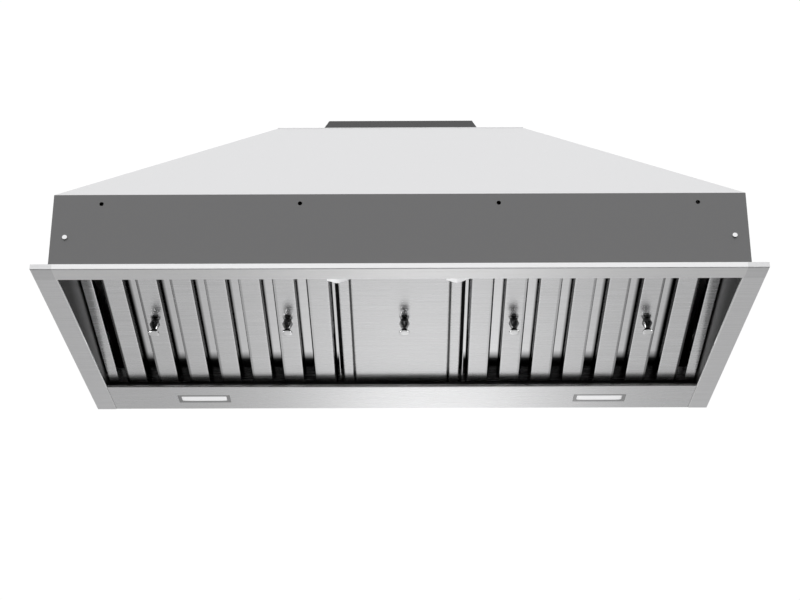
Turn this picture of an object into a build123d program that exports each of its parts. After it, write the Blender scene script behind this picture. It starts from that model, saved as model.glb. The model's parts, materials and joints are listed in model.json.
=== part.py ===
from build123d import *
import math
import os

# A range hood insert: a sheet-metal hood liner that is screwed up into a cabinet. Millimetres, Z up.
# X runs along the hood, Y runs from its front to its back. While it is built, Y is counted back
# from the rim's front edge and Z up from the rim's underside; save() moves the origin to the
# middle of the rim's underside.

# ---------------------------------------------------------------- rim and opening
rim_width = 876.0
rim_depth = 477.0
sheet = 1.2
lip_height = 7.0
rim_bend_radius = 0.9
front_strip = 29.3
side_strip = 27.0
rear_strip = 86.0
rear_strip_gap = 0.15
rear_strip_hem = 4.0
bend_inner_radius = 0.6
rim_cut_edge_radius = 0.5

# ---------------------------------------------------------------- outer casing
skirt_side_inset = 15.5
skirt_front_inset = 24.5
skirt_rear_inset = 15.5
skirt_top = 112.0
roof_top = 301.0
roof_top_width = 333.0
roof_top_setback = 193.0
cabinet_hole_radius = 2.7
cabinet_hole_pitch = 242.4
cabinet_hole_count = 4
cabinet_hole_height = 99.5

# ---------------------------------------------------------------- cavity round the filters
channel_face = 52.0
channel_toe_height = 11.5
channel_top = 86.5
ledge_depth = 32.0
cavity_wall_top = 100.0
rear_wall_setback = 11.0
rear_wall_top = 60.0
corner_tab_width = 12.0
corner_tab_low = 40.0
corner_tab_high = 68.0
corner_screw_height = 54.0
corner_screw_head_radius = 3.1
corner_screw_head_height = 1.9
corner_screw_radius = 1.9
corner_screw_length = 6.0
corner_screw_edge_radius = 0.5
screw_clearance = 0.1

# ---------------------------------------------------------------- filters and centre panel, on a slope
filter_tilt = 9.97
filter_rear_gap = 5.5
filter_rear_height = 10.6
filter_front_gap = 9.634
filter_depth = 16.0
filter_sheet = 0.8
filter_wall_gap = 2.4
divider_gap = 4.3
rail_face = 14.4
rail_flange = 12.0
slat_count = 7
slat_face = 27.4
slat_leg_height = 9.0
slat_leg_splay = 0.8
inner_slot = 8.0
outer_slot = 11.9
filter_bend_radius = 0.4
rear_baffle_inset = 2.4
rear_baffle_drop = 1.8
rear_baffle_wing = 4.2
rear_baffle_brim = 2.0
inner_baffle_face = 3.8
knob_skip_count = 1
knob_setback = 156.5
knob_length = 20.6
knob_base_radius = 5.0
knob_bulge_radius = 6.8
knob_bulge_height = 6.0
knob_waist_radius = 3.4
knob_waist_height = 14.4
knob_head_radius = 6.8
knob_head_thickness = 2.0
knob_edge_radius = 0.5
panel_width = 159.0
panel_flange_height = 12.0
panel_plate_width = 127.0
panel_groove_width = 2.0
panel_groove_depth = 3.0
panel_knob_side = 5.0

# ---------------------------------------------------------------- pivots, rails and spring clips
pivot_setback = 8.0
pivot_height = 8.0
pivot_radius = 2.5
pivot_clearance = 0.06
pivot_pin_gap = 0.4
lug_thickness = 3.0
lug_reach = 6.5
lug_half_height = 6.0
lug_gap = 0.6
divider_overlap = 13.5
divider_width = 30.0
divider_clearance = 4.0
divider_flange_height = 9.0
clip_leaf_inset = 3.5
clip_setback = 260.4
clip_half_span = 17.5
clip_width = 12.0
clip_thickness = 1.2
clip_left_drop = 4.2
clip_wave_drop = 7.6
clip_wave_side = -5.5
clip_rise_drop = 4.0
clip_rise_side = 8.75
clip_right_drop = 0.8
clip_stud_radius = 1.6
clip_stud_clearance = 0.05
clip_stud_head_radius = 3.2
clip_stud_head_height = 1.2

# ---------------------------------------------------------------- blower
blower_axis_back = 230.0
blower_axis_height = 190.0
blower_width = 180.0
blower_sheet = 1.2
scroll_start_radius = 86.0
scroll_start_angle = 75.0
scroll_end_radius = 130.0
scroll_points = 13
inlet_radius = 60.0
inlet_flange_width = 12.0
inlet_throat_depth = 8.0
inlet_ring_sheet = 1.0
wheel_radius = 78.0
wheel_inner_radius = 65.0
wheel_width = 148.0
wheel_ring_thickness = 2.0
wheel_disc_thickness = 2.0
blade_count = 32
blade_thickness = 1.2
blade_angle = 35.0
hub_radius = 12.0
hub_length = 24.0
motor_radius = 42.0
motor_inner_end = 30.0
motor_outer_end = 112.0
motor_boss_radius = 12.0
motor_boss_length = 6.0
motor_edge_radius = 2.0
shaft_radius = 4.0
shaft_clearance = 0.05
shaft_in_motor = 30.0
bracket_arm_width = 14.0
bracket_sheet = 2.0
bracket_arm_count = 3
bracket_foot_radius = 82.0
bracket_hub_radius = 21.0
motor_screw_radius = 2.0
motor_screw_head_radius = 4.0
motor_screw_head_height = 2.4

# ---------------------------------------------------------------- duct collar and dampers
collar_back = 305.0
collar_base_width = 226.0
collar_base_depth = 176.0
collar_top_width = 197.5
collar_top_depth = 148.5
collar_height = 32.0
collar_flange = 10.0
collar_sheet = 1.2
duct_hole_width = 176.0
duct_hole_depth = 132.0
damper_bar_width = 12.0
damper_rod_radius = 2.0
damper_rod_clearance = 0.06
damper_rod_offset = 4.0
damper_rod_height = 2.6
damper_rod_overhang = 2.0
damper_flap_half_width = 92.0
damper_flap_reach = 72.0
damper_flap_thickness = 1.0
damper_seat_gap = 0.4
collar_screw_radius = 1.9
collar_screw_head_radius = 3.6
collar_screw_head_height = 2.2
collar_screw_inset = 5.0
collar_screw_length = 5.0

# ---------------------------------------------------------------- switch set on the front channel
button_count = 5
button_pitch = 22.0
button_height = 41.0
button_radius = 5.0
button_clearance = 0.3
button_proud = 3.0
button_travel = 1.5
button_end_gap = 0.5
button_depth = 9.0
button_edge_radius = 0.5
button_plate_length = 122.0
button_plate_height = 24.0
button_plate_thickness = 1.5
button_plate_corner = 4.0
switch_case_length = 116.0
switch_case_height = 20.0
switch_case_depth = 20.0

# ---------------------------------------------------------------- lamps in the rear strip
lamp_side = 279.5
lamp_rear_inset = 41.0
lamp_length = 73.0
lamp_breadth = 28.0
lamp_cut_gap = 0.2
lamp_bezel_border = 4.6
lamp_bezel_thickness = 1.2
lamp_body_inset = 2.0
lamp_body_wall = 1.4
lamp_body_height = 14.0
lamp_lens_gap = 0.2
lamp_lens_thickness = 1.8
lamp_board_thickness = 1.6
lamp_board_height = 9.0
lamp_sink_cap = 3.0

# ---------------------------------------------------------------- electric parts
box_end_inset = 182.5
box_length = 120.0
box_depth = 56.0
box_height = 74.0
box_sheet = 1.2
terminal_length = 48.0
terminal_depth = 18.0
terminal_height = 16.0
terminal_poles = 4
terminal_pole_radius = 2.6
terminal_pole_depth = 6.0
capacitor_radius = 16.0
capacitor_length = 52.0
capacitor_side = 32.0
gland_height = 44.0
gland_bore_radius = 6.0
gland_radius = 10.0
gland_hole_clearance = 0.1
gland_flange_radius = 14.0
gland_flange_thickness = 3.0
gland_length = 12.0

# ---------------------------------------------------------------- places that several parts share
half_rim = rim_width / 2
opening_side = half_rim - side_strip
opening_rear = rim_depth - rear_strip
skirt_side = half_rim - skirt_side_inset
corner_screw_side = opening_side - corner_tab_width / 2
lamp_back = rim_depth - lamp_rear_inset
skirt_back = rim_depth - skirt_rear_inset
skirt_inner_side = skirt_side - sheet
skirt_inner_front = skirt_front_inset + sheet
skirt_inner_back = skirt_back - sheet
box_side = skirt_side - box_end_inset
slope_top = roof_top - sheet
ledge_edge = channel_face + ledge_depth
rear_wall_face = opening_rear + rear_wall_setback
filter_rear_face = rear_wall_face - filter_rear_gap
filter_reach = filter_rear_face - channel_face - filter_front_gap
filter_length = filter_reach / math.cos(math.radians(filter_tilt))
filter_outer_side = opening_side - filter_wall_gap
rail_inner_side = filter_outer_side - rail_face
panel_side = panel_width / 2
filter_inner_side = panel_side + divider_gap
inner_slat_side = filter_inner_side + inner_slot + slat_face / 2
outer_slat_side = rail_inner_side - outer_slot - slat_face / 2
slat_pitch = (outer_slat_side - inner_slat_side) / (slat_count - 1)
rear_baffle_half = (slat_pitch - slat_face) / 2 - rear_baffle_inset
divider_bottom = filter_depth + divider_clearance
lug_inner_side = panel_side + lug_gap
divider_inner_side = panel_side - divider_overlap
clip_leaf_side = panel_side - clip_leaf_inset
clip_stud_side = (panel_side + filter_inner_side) / 2
pivot_bore_radius = pivot_radius + pivot_clearance
blower_half = blower_width / 2
wheel_half = wheel_width / 2
lamp_sides = (-lamp_side, lamp_side)
cabinet_hole_sides = [
    (place - (cabinet_hole_count - 1) / 2) * cabinet_hole_pitch for place in range(cabinet_hole_count)
]
button_sides = [(place - (button_count - 1) / 2) * button_pitch for place in range(button_count)]


# ================================================================ helpers
def block(x_low, x_high, y_low, y_high, z_low, z_high):
    """A box between two limits on each axis."""
    middle = ((x_low + x_high) / 2, (y_low + y_high) / 2, (z_low + z_high) / 2)
    return Pos(*middle) * Box(x_high - x_low, y_high - y_low, z_high - z_low)


def rod(start, along, length, radius):
    """A round bar from a start point in a direction."""
    return extrude(Plane(origin=start, z_dir=along) * Circle(radius), amount=length)


def sheet_outline(path, thickness, inner_radius):
    """A folded sheet's closed outline: a path, its mitred offset on the left, and each corner's radius."""
    headings = []
    for (x1, y1), (x2, y2) in zip(path, path[1:]):
        length = math.hypot(x2 - x1, y2 - y1)
        headings.append(((x2 - x1) / length, (y2 - y1) / length))
    offset = []
    path_radii = []
    offset_radii = []
    for number, (x, y) in enumerate(path):
        before = headings[max(number - 1, 0)]
        after = headings[min(number, len(headings) - 1)]
        share = thickness / (1 + before[0] * after[0] + before[1] * after[1])
        offset.append((x - (before[1] + after[1]) * share, y + (before[0] + after[0]) * share))
        turn = before[0] * after[1] - before[1] * after[0]
        is_end = number in (0, len(path) - 1)
        inner = 0 if is_end else inner_radius
        outer = 0 if is_end else inner_radius + thickness
        path_radii.append(outer if turn > 0 else inner)
        offset_radii.append(inner if turn > 0 else outer)
    return list(path) + offset[::-1], path_radii + offset_radii[::-1]


def folded_along_x(path, thickness, inner_radius, x_low, x_high):
    """A sheet folded along a (y, z) path, drawn out along X."""
    points, radii = sheet_outline(path, thickness, inner_radius)
    face = make_face(Plane.YZ.offset(x_low) * FilletPolyline(*points, radius=radii, close=True))
    return extrude(face, amount=x_high - x_low, dir=(1, 0, 0))


def folded_along_y(path, thickness, inner_radius, y_low, y_high):
    """A sheet folded along an (x, z) path, drawn out along +Y."""
    points, radii = sheet_outline(path, thickness, inner_radius)
    face = make_face(Plane.XZ.offset(-y_low) * FilletPolyline(*points, radius=radii, close=True))
    return extrude(face, amount=y_high - y_low, dir=(0, 1, 0))


def prism_along_y(outline, y_low, y_high):
    """A solid with an (x, z) outline, drawn out along +Y."""
    face = make_face(Plane.XZ.offset(-y_low) * Polyline(*outline, close=True))
    return extrude(face, amount=y_high - y_low, dir=(0, 1, 0))


def on_slope(shape):
    """Puts a piece drawn flat, its rear lower edge on the X axis, onto the filters' slope."""
    return Pos(0, filter_rear_face, filter_rear_height) * Rot(-filter_tilt, 0, 0) * shape


def mirrored(shape):
    return mirror(shape, about=Plane.YZ)


def save(name, *solids):
    """Writes one node, with the origin moved to the middle of the rim's underside."""
    placed = [Pos(0, -rim_depth / 2, 0) * solid for solid in solids]
    shape = placed[0] if len(placed) == 1 else Compound(children=placed)
    export_step(shape, f"parts/{name}.step")


# ================================================================ rim
def rim_frame():
    """The U of brushed sheet at the front and both sides, with a lip turned up round its edge."""
    strip = block(-half_rim, half_rim, 0, front_strip, 0, sheet)
    strip += block(-half_rim, half_rim, 0, sheet, 0, lip_height)
    for side in (-1, 1):
        inner, outer = sorted((side * opening_side, side * half_rim))
        strip += block(inner, outer, 0, rim_depth, 0, sheet)
        lip_inner, lip_outer = sorted((side * (half_rim - sheet), side * half_rim))
        strip += block(lip_inner, lip_outer, 0, rim_depth, 0, lip_height)
    bends = strip.edges().filter_by(Axis.X).group_by(Axis.Z)[0].sort_by(Axis.Y)[0:1]
    bends += strip.edges().filter_by(Axis.Y).group_by(Axis.Z)[0].sort_by(Axis.X)[0:1]
    bends += strip.edges().filter_by(Axis.Y).group_by(Axis.Z)[0].sort_by(Axis.X)[-1:]
    strip = fillet(bends, rim_bend_radius)
    cut_edges = strip.edges().filter_by(Axis.Y).group_by(Axis.Z)[0].sort_by(Axis.X)[1:-1]
    cut_edges += strip.edges().filter_by(Axis.X).group_by(Axis.Z)[0].sort_by(Axis.Y)[-1:]
    return fillet(cut_edges, rim_cut_edge_radius)


def rear_lamp_strip():
    """The strip between the U's two arms, hemmed to the opening and cut out for the lamps."""
    side = opening_side - rear_strip_gap
    back = rim_depth - rear_strip_gap
    path = [(opening_rear, rear_strip_hem), (opening_rear, 0), (back, 0), (back, lip_height)]
    strip = folded_along_x(path, sheet, bend_inner_radius, -side, side)
    half_length = lamp_length / 2 + lamp_cut_gap
    half_breadth = lamp_breadth / 2 + lamp_cut_gap
    cut_front = lamp_back - half_breadth
    cut_back = lamp_back + half_breadth
    for lamp in lamp_sides:
        strip -= block(lamp - half_length, lamp + half_length, cut_front, cut_back, 0, sheet)
    return strip


# ================================================================ outer casing
def cabinet_holes(panel, face):
    """Drills the row of screw holes through an upright panel whose front face is at the given Y."""
    for side in cabinet_hole_sides:
        panel -= rod((side, face, cabinet_hole_height), (0, 1, 0), sheet, cabinet_hole_radius)
    return panel


def front_skirt():
    panel = block(-skirt_side, skirt_side, skirt_front_inset, skirt_inner_front, sheet, skirt_top)
    panel = cabinet_holes(panel, skirt_front_inset)
    for side in (-corner_screw_side, corner_screw_side):
        start = (side, skirt_front_inset, corner_screw_height)
        panel -= rod(start, (0, 1, 0), sheet, corner_screw_radius + screw_clearance)
    return panel


def right_skirt():
    return block(skirt_inner_side, skirt_side, skirt_inner_front, skirt_inner_back, sheet, skirt_top)


def back_panel():
    """One upright sheet closing the skirt and the roof behind, with the cable inlet's hole."""
    top = roof_top_width / 2
    outline = [
        (-skirt_side, sheet), (skirt_side, sheet), (skirt_side, skirt_top),
        (top, slope_top), (-top, slope_top), (-skirt_side, skirt_top),
    ]
    panel = prism_along_y(outline, skirt_inner_back, skirt_back)
    panel = cabinet_holes(panel, skirt_inner_back)
    return panel - rod(gland_start(), (0, -1, 0), sheet, gland_radius + gland_hole_clearance)


def slope_corners(inward):
    """Half width and front edge of the roof at its foot and at its top, moved in by a thickness."""
    rise = slope_top - skirt_top
    run_side = skirt_side - roof_top_width / 2
    run_front = roof_top_setback - skirt_front_inset
    side_shift = inward * math.hypot(rise, run_side) / rise
    front_shift = inward * math.hypot(rise, run_front) / rise
    foot = (skirt_side - side_shift, skirt_front_inset + front_shift)
    top = (roof_top_width / 2 - side_shift, roof_top_setback + front_shift)
    return foot, top


def slab_between(outer_points, inner_points):
    """A flat sheet with bevelled edges, between two parallel four-cornered faces."""
    outer = make_face(Polyline(*outer_points, close=True))
    inner = make_face(Polyline(*inner_points, close=True))
    return Solid.make_loft([outer.wire(), inner.wire()], ruled=True)


def front_slope_points(inward):
    (foot_side, foot_front), (top_side, top_front) = slope_corners(inward)
    return [
        (-foot_side, foot_front, skirt_top), (foot_side, foot_front, skirt_top),
        (top_side, top_front, slope_top), (-top_side, top_front, slope_top),
    ]


def right_slope_points(inward):
    (foot_side, foot_front), (top_side, top_front) = slope_corners(inward)
    return [
        (foot_side, foot_front, skirt_top), (foot_side, skirt_inner_back, skirt_top),
        (top_side, skirt_inner_back, slope_top), (top_side, top_front, slope_top),
    ]


def top_plate():
    half = roof_top_width / 2
    plate = block(-half, half, roof_top_setback, skirt_back, slope_top, roof_top)
    hole = duct_hole_width / 2
    front = collar_back - duct_hole_depth / 2
    plate -= block(-hole, hole, front, front + duct_hole_depth, slope_top, roof_top)
    for start in collar_screw_places():
        plate -= rod(start, (0, 0, -1), sheet, collar_screw_radius + screw_clearance)
    return plate


# ================================================================ cavity
def front_channel():
    """The folded sheet behind the rim's front strip; it hides the switch set."""
    path = [
        (skirt_inner_front, sheet), (front_strip, sheet), (channel_face, channel_toe_height),
        (channel_face, channel_top), (skirt_inner_front, channel_top),
    ]
    channel = folded_along_x(path, sheet, bend_inner_radius, -opening_side, opening_side)
    for side in button_sides:
        start = (side, channel_face - sheet, button_height)
        channel -= rod(start, (0, 1, 0), sheet, button_radius + button_clearance)
    return channel


def front_ledge():
    """The flat cover over the front channel; it reaches back over the filters' front ends."""
    return block(-opening_side, opening_side, skirt_inner_front, ledge_edge, channel_top, channel_top + sheet)


def right_cavity_wall():
    """The side wall, with a flange out to the skirt, a pivot hole and a tab for the corner screw."""
    path = [(skirt_inner_side, cavity_wall_top), (opening_side, cavity_wall_top), (opening_side, sheet)]
    wall = folded_along_y(path, sheet, bend_inner_radius, skirt_inner_front, skirt_inner_back)
    tab_side = opening_side - corner_tab_width
    wall += block(
        tab_side, opening_side, skirt_inner_front, skirt_inner_front + sheet, corner_tab_low, corner_tab_high
    )
    start = (corner_screw_side, skirt_inner_front, corner_screw_height)
    wall -= rod(start, (0, 1, 0), sheet, corner_screw_radius + screw_clearance)
    return wall - pivot_bar(opening_side, opening_side + sheet, pivot_bore_radius)


def rear_cavity_wall():
    """The upright wall behind the filters, with a flange back over the lamps."""
    path = [(skirt_inner_back, rear_wall_top), (rear_wall_face, rear_wall_top), (rear_wall_face, sheet)]
    return folded_along_x(path, sheet, bend_inner_radius, -opening_side, opening_side)


def divider_rails():
    """Two rails over the gaps between the filters and the centre panel, from ledge to rear wall."""
    half = divider_width / 2
    top = divider_bottom + divider_flange_height
    path = [(-half, top), (-half, divider_bottom), (half, divider_bottom), (half, top)]
    middle = divider_inner_side + half
    long_rail = folded_along_y(path, sheet, bend_inner_radius, -rim_depth, rim_depth / 2)
    stud_start = (clip_stud_side - middle, -clip_setback, divider_bottom)
    stud_hole = rod(stud_start, (0, 0, 1), sheet, clip_stud_radius + clip_stud_clearance)
    rail = on_slope(Pos(middle, 0, 0) * (long_rail - stud_hole))
    rail &= block(0, half_rim, ledge_edge, rear_wall_face, 0, skirt_top)
    return [rail, mirrored(rail)]


def pivot_centre():
    """The pivot line's Y and Z, shared by both filters and the centre panel."""
    slope = math.radians(filter_tilt)
    back = filter_rear_face - pivot_setback * math.cos(slope) + pivot_height * math.sin(slope)
    height = filter_rear_height + pivot_setback * math.sin(slope) + pivot_height * math.cos(slope)
    return back, height


def pivot_bar(x_low, x_high, radius):
    back, height = pivot_centre()
    return rod((x_low, back, height), (1, 0, 0), x_high - x_low, radius)


def pivot_lugs():
    """Two plates on the rear wall, each with a bore for one filter pin and one panel pin."""
    back, height = pivot_centre()
    outer = lug_inner_side + lug_thickness
    low = height - lug_half_height
    high = height + lug_half_height
    plate = block(lug_inner_side, outer, back - lug_reach, rear_wall_face, low, high)
    plate -= pivot_bar(lug_inner_side, outer, pivot_bore_radius)
    return [plate, mirrored(plate)]


# ================================================================ filters
def along_filter(path):
    """A sheet strip with this profile, drawn flat along the slope between the end rails."""
    return folded_along_y(path, filter_sheet, filter_bend_radius, filter_sheet - filter_length, -filter_sheet)


def slat_side(number):
    """The X of a slat's middle; slat 0 is the outermost."""
    return outer_slat_side - number * slat_pitch


def filter_front_baffles():
    half = slat_face / 2
    tip = half + slat_leg_splay
    path = [(-tip, slat_leg_height), (-half, 0), (half, 0), (tip, slat_leg_height)]
    slat = along_filter(path)
    return [on_slope(Pos(slat_side(number), 0, 0) * slat) for number in range(slat_count)]


def rear_baffle_flank(side):
    """Half a rear baffle's profile: the wing that rises from its face, and its brim."""
    brim_bottom = filter_depth - 2 * filter_sheet
    wing_end = side + rear_baffle_wing
    return [
        (side, brim_bottom - rear_baffle_drop), (wing_end, brim_bottom),
        (wing_end + rear_baffle_brim, brim_bottom),
    ]


def filter_rear_baffles():
    """The upper row: a hat-shaped strip over each gap between slats, and half a hat by the inner rail."""
    right = rear_baffle_flank(rear_baffle_half)
    left = [(-x, z) for x, z in right[::-1]]
    hat = along_filter(left + right)
    middles = [slat_side(number) - slat_pitch / 2 for number in range(slat_count - 1)]
    rail_side = filter_inner_side + filter_sheet
    half_hat = rear_baffle_flank(rail_side + inner_baffle_face)
    half_hat = along_filter([(rail_side, half_hat[0][1])] + half_hat)
    return [on_slope(Pos(middle, 0, 0) * hat) for middle in middles] + [on_slope(half_hat)]


def filter_frame():
    """Four rails round the slats; the two side rails carry the pivot pins."""
    front = -filter_length
    flange_bottom = filter_depth - filter_sheet
    inner = filter_inner_side
    outer = filter_outer_side
    front_rail = block(inner, outer, front, front + filter_sheet, 0, filter_depth)
    front_rail += block(inner, outer, front, front + rail_flange, flange_bottom, filter_depth)
    rear_rail = block(inner, outer, -filter_sheet, 0, 0, filter_depth)
    rear_rail += block(inner, outer, -rail_flange, 0, flange_bottom, filter_depth)
    ends = (front + filter_sheet, -filter_sheet)
    outer_path = [
        (rail_inner_side - slat_leg_splay, slat_leg_height), (rail_inner_side, 0),
        (outer, 0), (outer, flange_bottom),
    ]
    outer_rail = folded_along_y(outer_path, filter_sheet, filter_bend_radius, *ends)
    inner_rail = block(inner, inner + filter_sheet, *ends, 0, flange_bottom)
    outer_rail = on_slope(outer_rail) + pivot_bar(outer, opening_side + sheet, pivot_radius)
    lug_outer = lug_inner_side + lug_thickness
    pin_end = lug_outer - lug_thickness / 2 + pivot_pin_gap / 2
    inner_rail = on_slope(inner_rail) + pivot_bar(pin_end, inner, pivot_radius)
    return [on_slope(front_rail), on_slope(rear_rail), outer_rail, inner_rail]


def pull_knob(side):
    """A turned pull knob: a narrow foot, two cones that meet at its girth, a waist and a flared head."""
    head_bottom = knob_length - knob_head_thickness
    profile = [
        (0, 0), (knob_base_radius, 0), (knob_bulge_radius, knob_bulge_height),
        (knob_waist_radius, knob_waist_height), (knob_head_radius, head_bottom),
        (knob_head_radius, knob_length), (0, knob_length),
    ]
    turned = revolve(make_face(Plane.XZ * Polyline(*profile, close=True)), Axis.Z)
    face_edge = turned.edges().filter_by(GeomType.CIRCLE).sort_by(Axis.Z)[-1:]
    turned = fillet(face_edge, knob_edge_radius)
    return on_slope(Pos(side, -knob_setback, 0) * Rot(180, 0, 0) * turned)


def filter_knobs():
    """A knob on each side of the filter, on the slat that a few end slats separate from the rail."""
    numbers = (knob_skip_count, slat_count - 1 - knob_skip_count)
    return [pull_knob(slat_side(number)) for number in numbers]


# ================================================================ centre panel
def center_tray():
    """The carrier of the plain plate: side strips, a raised middle, turned-up edges and pins."""
    half = panel_side
    step = panel_plate_width / 2 + panel_groove_width
    path = [
        (-half, panel_flange_height), (-half, 0), (-step, 0), (-step, panel_groove_depth),
        (step, panel_groove_depth), (step, 0), (half, 0), (half, panel_flange_height),
    ]
    tray = folded_along_y(path, sheet, bend_inner_radius, -filter_length, 0)
    for front in (-filter_length, -sheet):
        tray += block(-half, half, front, front + sheet, panel_groove_depth, panel_flange_height)
    tray = on_slope(tray)
    pin_end = lug_inner_side + lug_thickness / 2 - pivot_pin_gap / 2
    tray += pivot_bar(half - sheet, pin_end, pivot_radius)
    return tray + pivot_bar(-pin_end, sheet - half, pivot_radius)


def center_plate():
    half = panel_plate_width / 2
    path = [(-half, panel_groove_depth), (-half, 0), (half, 0), (half, panel_groove_depth)]
    return on_slope(folded_along_y(path, sheet, bend_inner_radius, -filter_length, 0))


def spring_clip(side):
    """A wavy spring leaf under the gap beside the centre panel, on a stud that hangs from the rail."""
    wave = Spline(
        (-clip_half_span, -clip_left_drop),
        (clip_wave_side, -clip_wave_drop),
        (clip_rise_side, -clip_rise_drop),
        (clip_half_span, -clip_right_drop),
    )
    upper = Plane.XZ.offset(-clip_width / 2) * wave
    lower = Pos(0, 0, -clip_thickness) * upper
    leaf_face = make_face([upper, lower, Line(upper @ 0, lower @ 0), Line(upper @ 1, lower @ 1)])
    leaf = extrude(leaf_face, amount=clip_width, dir=(0, -1, 0))
    stud_bottom = -clip_wave_drop - clip_thickness
    rail_top = divider_bottom + sheet
    shift = side * (clip_stud_side - clip_leaf_side)
    stud = rod((shift, 0, stud_bottom), (0, 0, 1), rail_top - stud_bottom, clip_stud_radius)
    stud += rod((shift, 0, rail_top), (0, 0, 1), clip_stud_head_height, clip_stud_head_radius)
    return on_slope(Pos(side * clip_leaf_side, -clip_setback, 0) * (leaf + stud))


# ================================================================ blower
def scroll_curve(extra):
    """The scroll's growing radius about the wheel's axis, from the cut-off round to the back."""
    points = []
    for number in range(scroll_points):
        share = number / (scroll_points - 1)
        angle = math.radians(scroll_start_angle + (360 - scroll_start_angle) * share)
        radius = scroll_start_radius + (scroll_end_radius - scroll_start_radius) * share + extra
        back = blower_axis_back + radius * math.cos(angle)
        points.append((back, blower_axis_height + radius * math.sin(angle)))
    return points


def blower_scroll():
    """The wrap round the wheel, open upwards into the duct."""
    inner = scroll_curve(0)
    outer = scroll_curve(blower_sheet)
    plane = Plane.YZ.offset(-blower_half)
    inner_top_front = (inner[0][0], slope_top)
    outer_top_front = (inner[0][0] - blower_sheet, slope_top)
    inner_top_back = (inner[-1][0], slope_top)
    outer_top_back = (outer[-1][0], slope_top)
    outer_start = (outer_top_front[0], outer[0][1])
    outline = [
        Spline(*inner), Line(inner[-1], inner_top_back), Line(inner_top_back, outer_top_back),
        Line(outer_top_back, outer[-1]), Spline(*[outer_start, *outer[1:]][::-1]),
        Line(outer_start, outer_top_front), Line(outer_top_front, inner_top_front),
        Line(inner_top_front, inner[0]),
    ]
    return extrude(make_face(plane * Wire(outline)), amount=blower_width, dir=(1, 0, 0))


def blower_side(x_low):
    """A side plate with the scroll's outer outline and a round inlet."""
    outer = scroll_curve(blower_sheet)
    start = (scroll_curve(0)[0][0] - blower_sheet, outer[0][1])
    outer[0] = start
    top_front = (start[0], slope_top)
    top_back = (outer[-1][0], slope_top)
    outline = [Spline(*outer), Line(outer[-1], top_back), Line(top_back, top_front), Line(top_front, start)]
    face = make_face(Plane.YZ.offset(x_low) * Wire(outline))
    plate = extrude(face, amount=blower_sheet, dir=(1, 0, 0))
    hole = inlet_radius + inlet_ring_sheet
    plate -= rod((x_low, blower_axis_back, blower_axis_height), (1, 0, 0), blower_sheet, hole)
    return plate


def blower_left_side():
    """The plate that also carries the motor's bracket."""
    plate = blower_side(-blower_half - blower_sheet)
    for start in bracket_screw_places():
        plate -= rod(start, (1, 0, 0), blower_sheet, motor_screw_radius + screw_clearance)
    return plate


def inlet_ring(side):
    """A flanged throat that guides the air into the wheel."""
    face = blower_half + blower_sheet
    outside = face + inlet_ring_sheet
    throat = face - inlet_throat_depth
    wall = inlet_radius + inlet_ring_sheet
    flange = inlet_radius + inlet_flange_width
    profile = [
        (inlet_radius, outside), (flange, outside), (flange, face),
        (wall, face), (wall, throat), (inlet_radius, throat),
    ]
    turned = revolve(make_face(Plane.XZ * Polyline(*profile, close=True)), Axis.Z)
    return Pos(0, blower_axis_back, blower_axis_height) * Rot(0, side * 90, 0) * turned


def impeller():
    """A double-inlet wheel: a middle disc with a hub, a ring at each end and straight blades set askew."""
    middle_radius = (wheel_radius + wheel_inner_radius) / 2
    blade_length = (wheel_radius - wheel_inner_radius) / math.cos(math.radians(blade_angle))
    blade = Rot(0, 0, blade_angle) * Rectangle(blade_length, blade_thickness)
    places = PolarLocations(middle_radius, blade_count)
    blades = [extrude(Pos(0, 0, -wheel_half) * place * blade, amount=wheel_width) for place in places]
    ring = Cylinder(wheel_radius, wheel_ring_thickness) - Cylinder(wheel_inner_radius, wheel_ring_thickness)
    end = wheel_half - wheel_ring_thickness / 2
    wheel = Cylinder(wheel_radius, wheel_disc_thickness) + Cylinder(hub_radius, hub_length)
    wheel += [Pos(0, 0, end) * ring, Pos(0, 0, -end) * ring, *blades]
    wheel -= Cylinder(shaft_radius, hub_length)
    return Pos(0, blower_axis_back, blower_axis_height) * Rot(0, 90, 0) * wheel


def on_motor_axis(x):
    return (x, blower_axis_back, blower_axis_height)


def motor_housing():
    """The motor's can, inside the wheel's left half, with a boss round the shaft."""
    can = rod(on_motor_axis(-motor_outer_end), (1, 0, 0), motor_outer_end - motor_inner_end, motor_radius)
    can = fillet(can.edges().filter_by(GeomType.CIRCLE), motor_edge_radius)
    can += rod(on_motor_axis(-motor_inner_end), (1, 0, 0), motor_boss_length, motor_boss_radius)
    bore_start = motor_inner_end + shaft_in_motor + shaft_clearance
    bore_length = bore_start - motor_inner_end + motor_boss_length
    return can - rod(on_motor_axis(-bore_start), (1, 0, 0), bore_length, shaft_radius + shaft_clearance)


def motor_shaft():
    start = -motor_inner_end - shaft_in_motor
    return rod(on_motor_axis(start), (1, 0, 0), hub_length / 2 - start, shaft_radius)


def bracket_screw_places():
    """Where the motor bracket's feet are screwed to the left side plate."""
    places = []
    for number in range(bracket_arm_count):
        angle = math.radians(90 + number * 360 / bracket_arm_count)
        back = blower_axis_back + bracket_foot_radius * math.cos(angle)
        height = blower_axis_height + bracket_foot_radius * math.sin(angle)
        places.append((-blower_half - blower_sheet, back, height))
    return places


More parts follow.
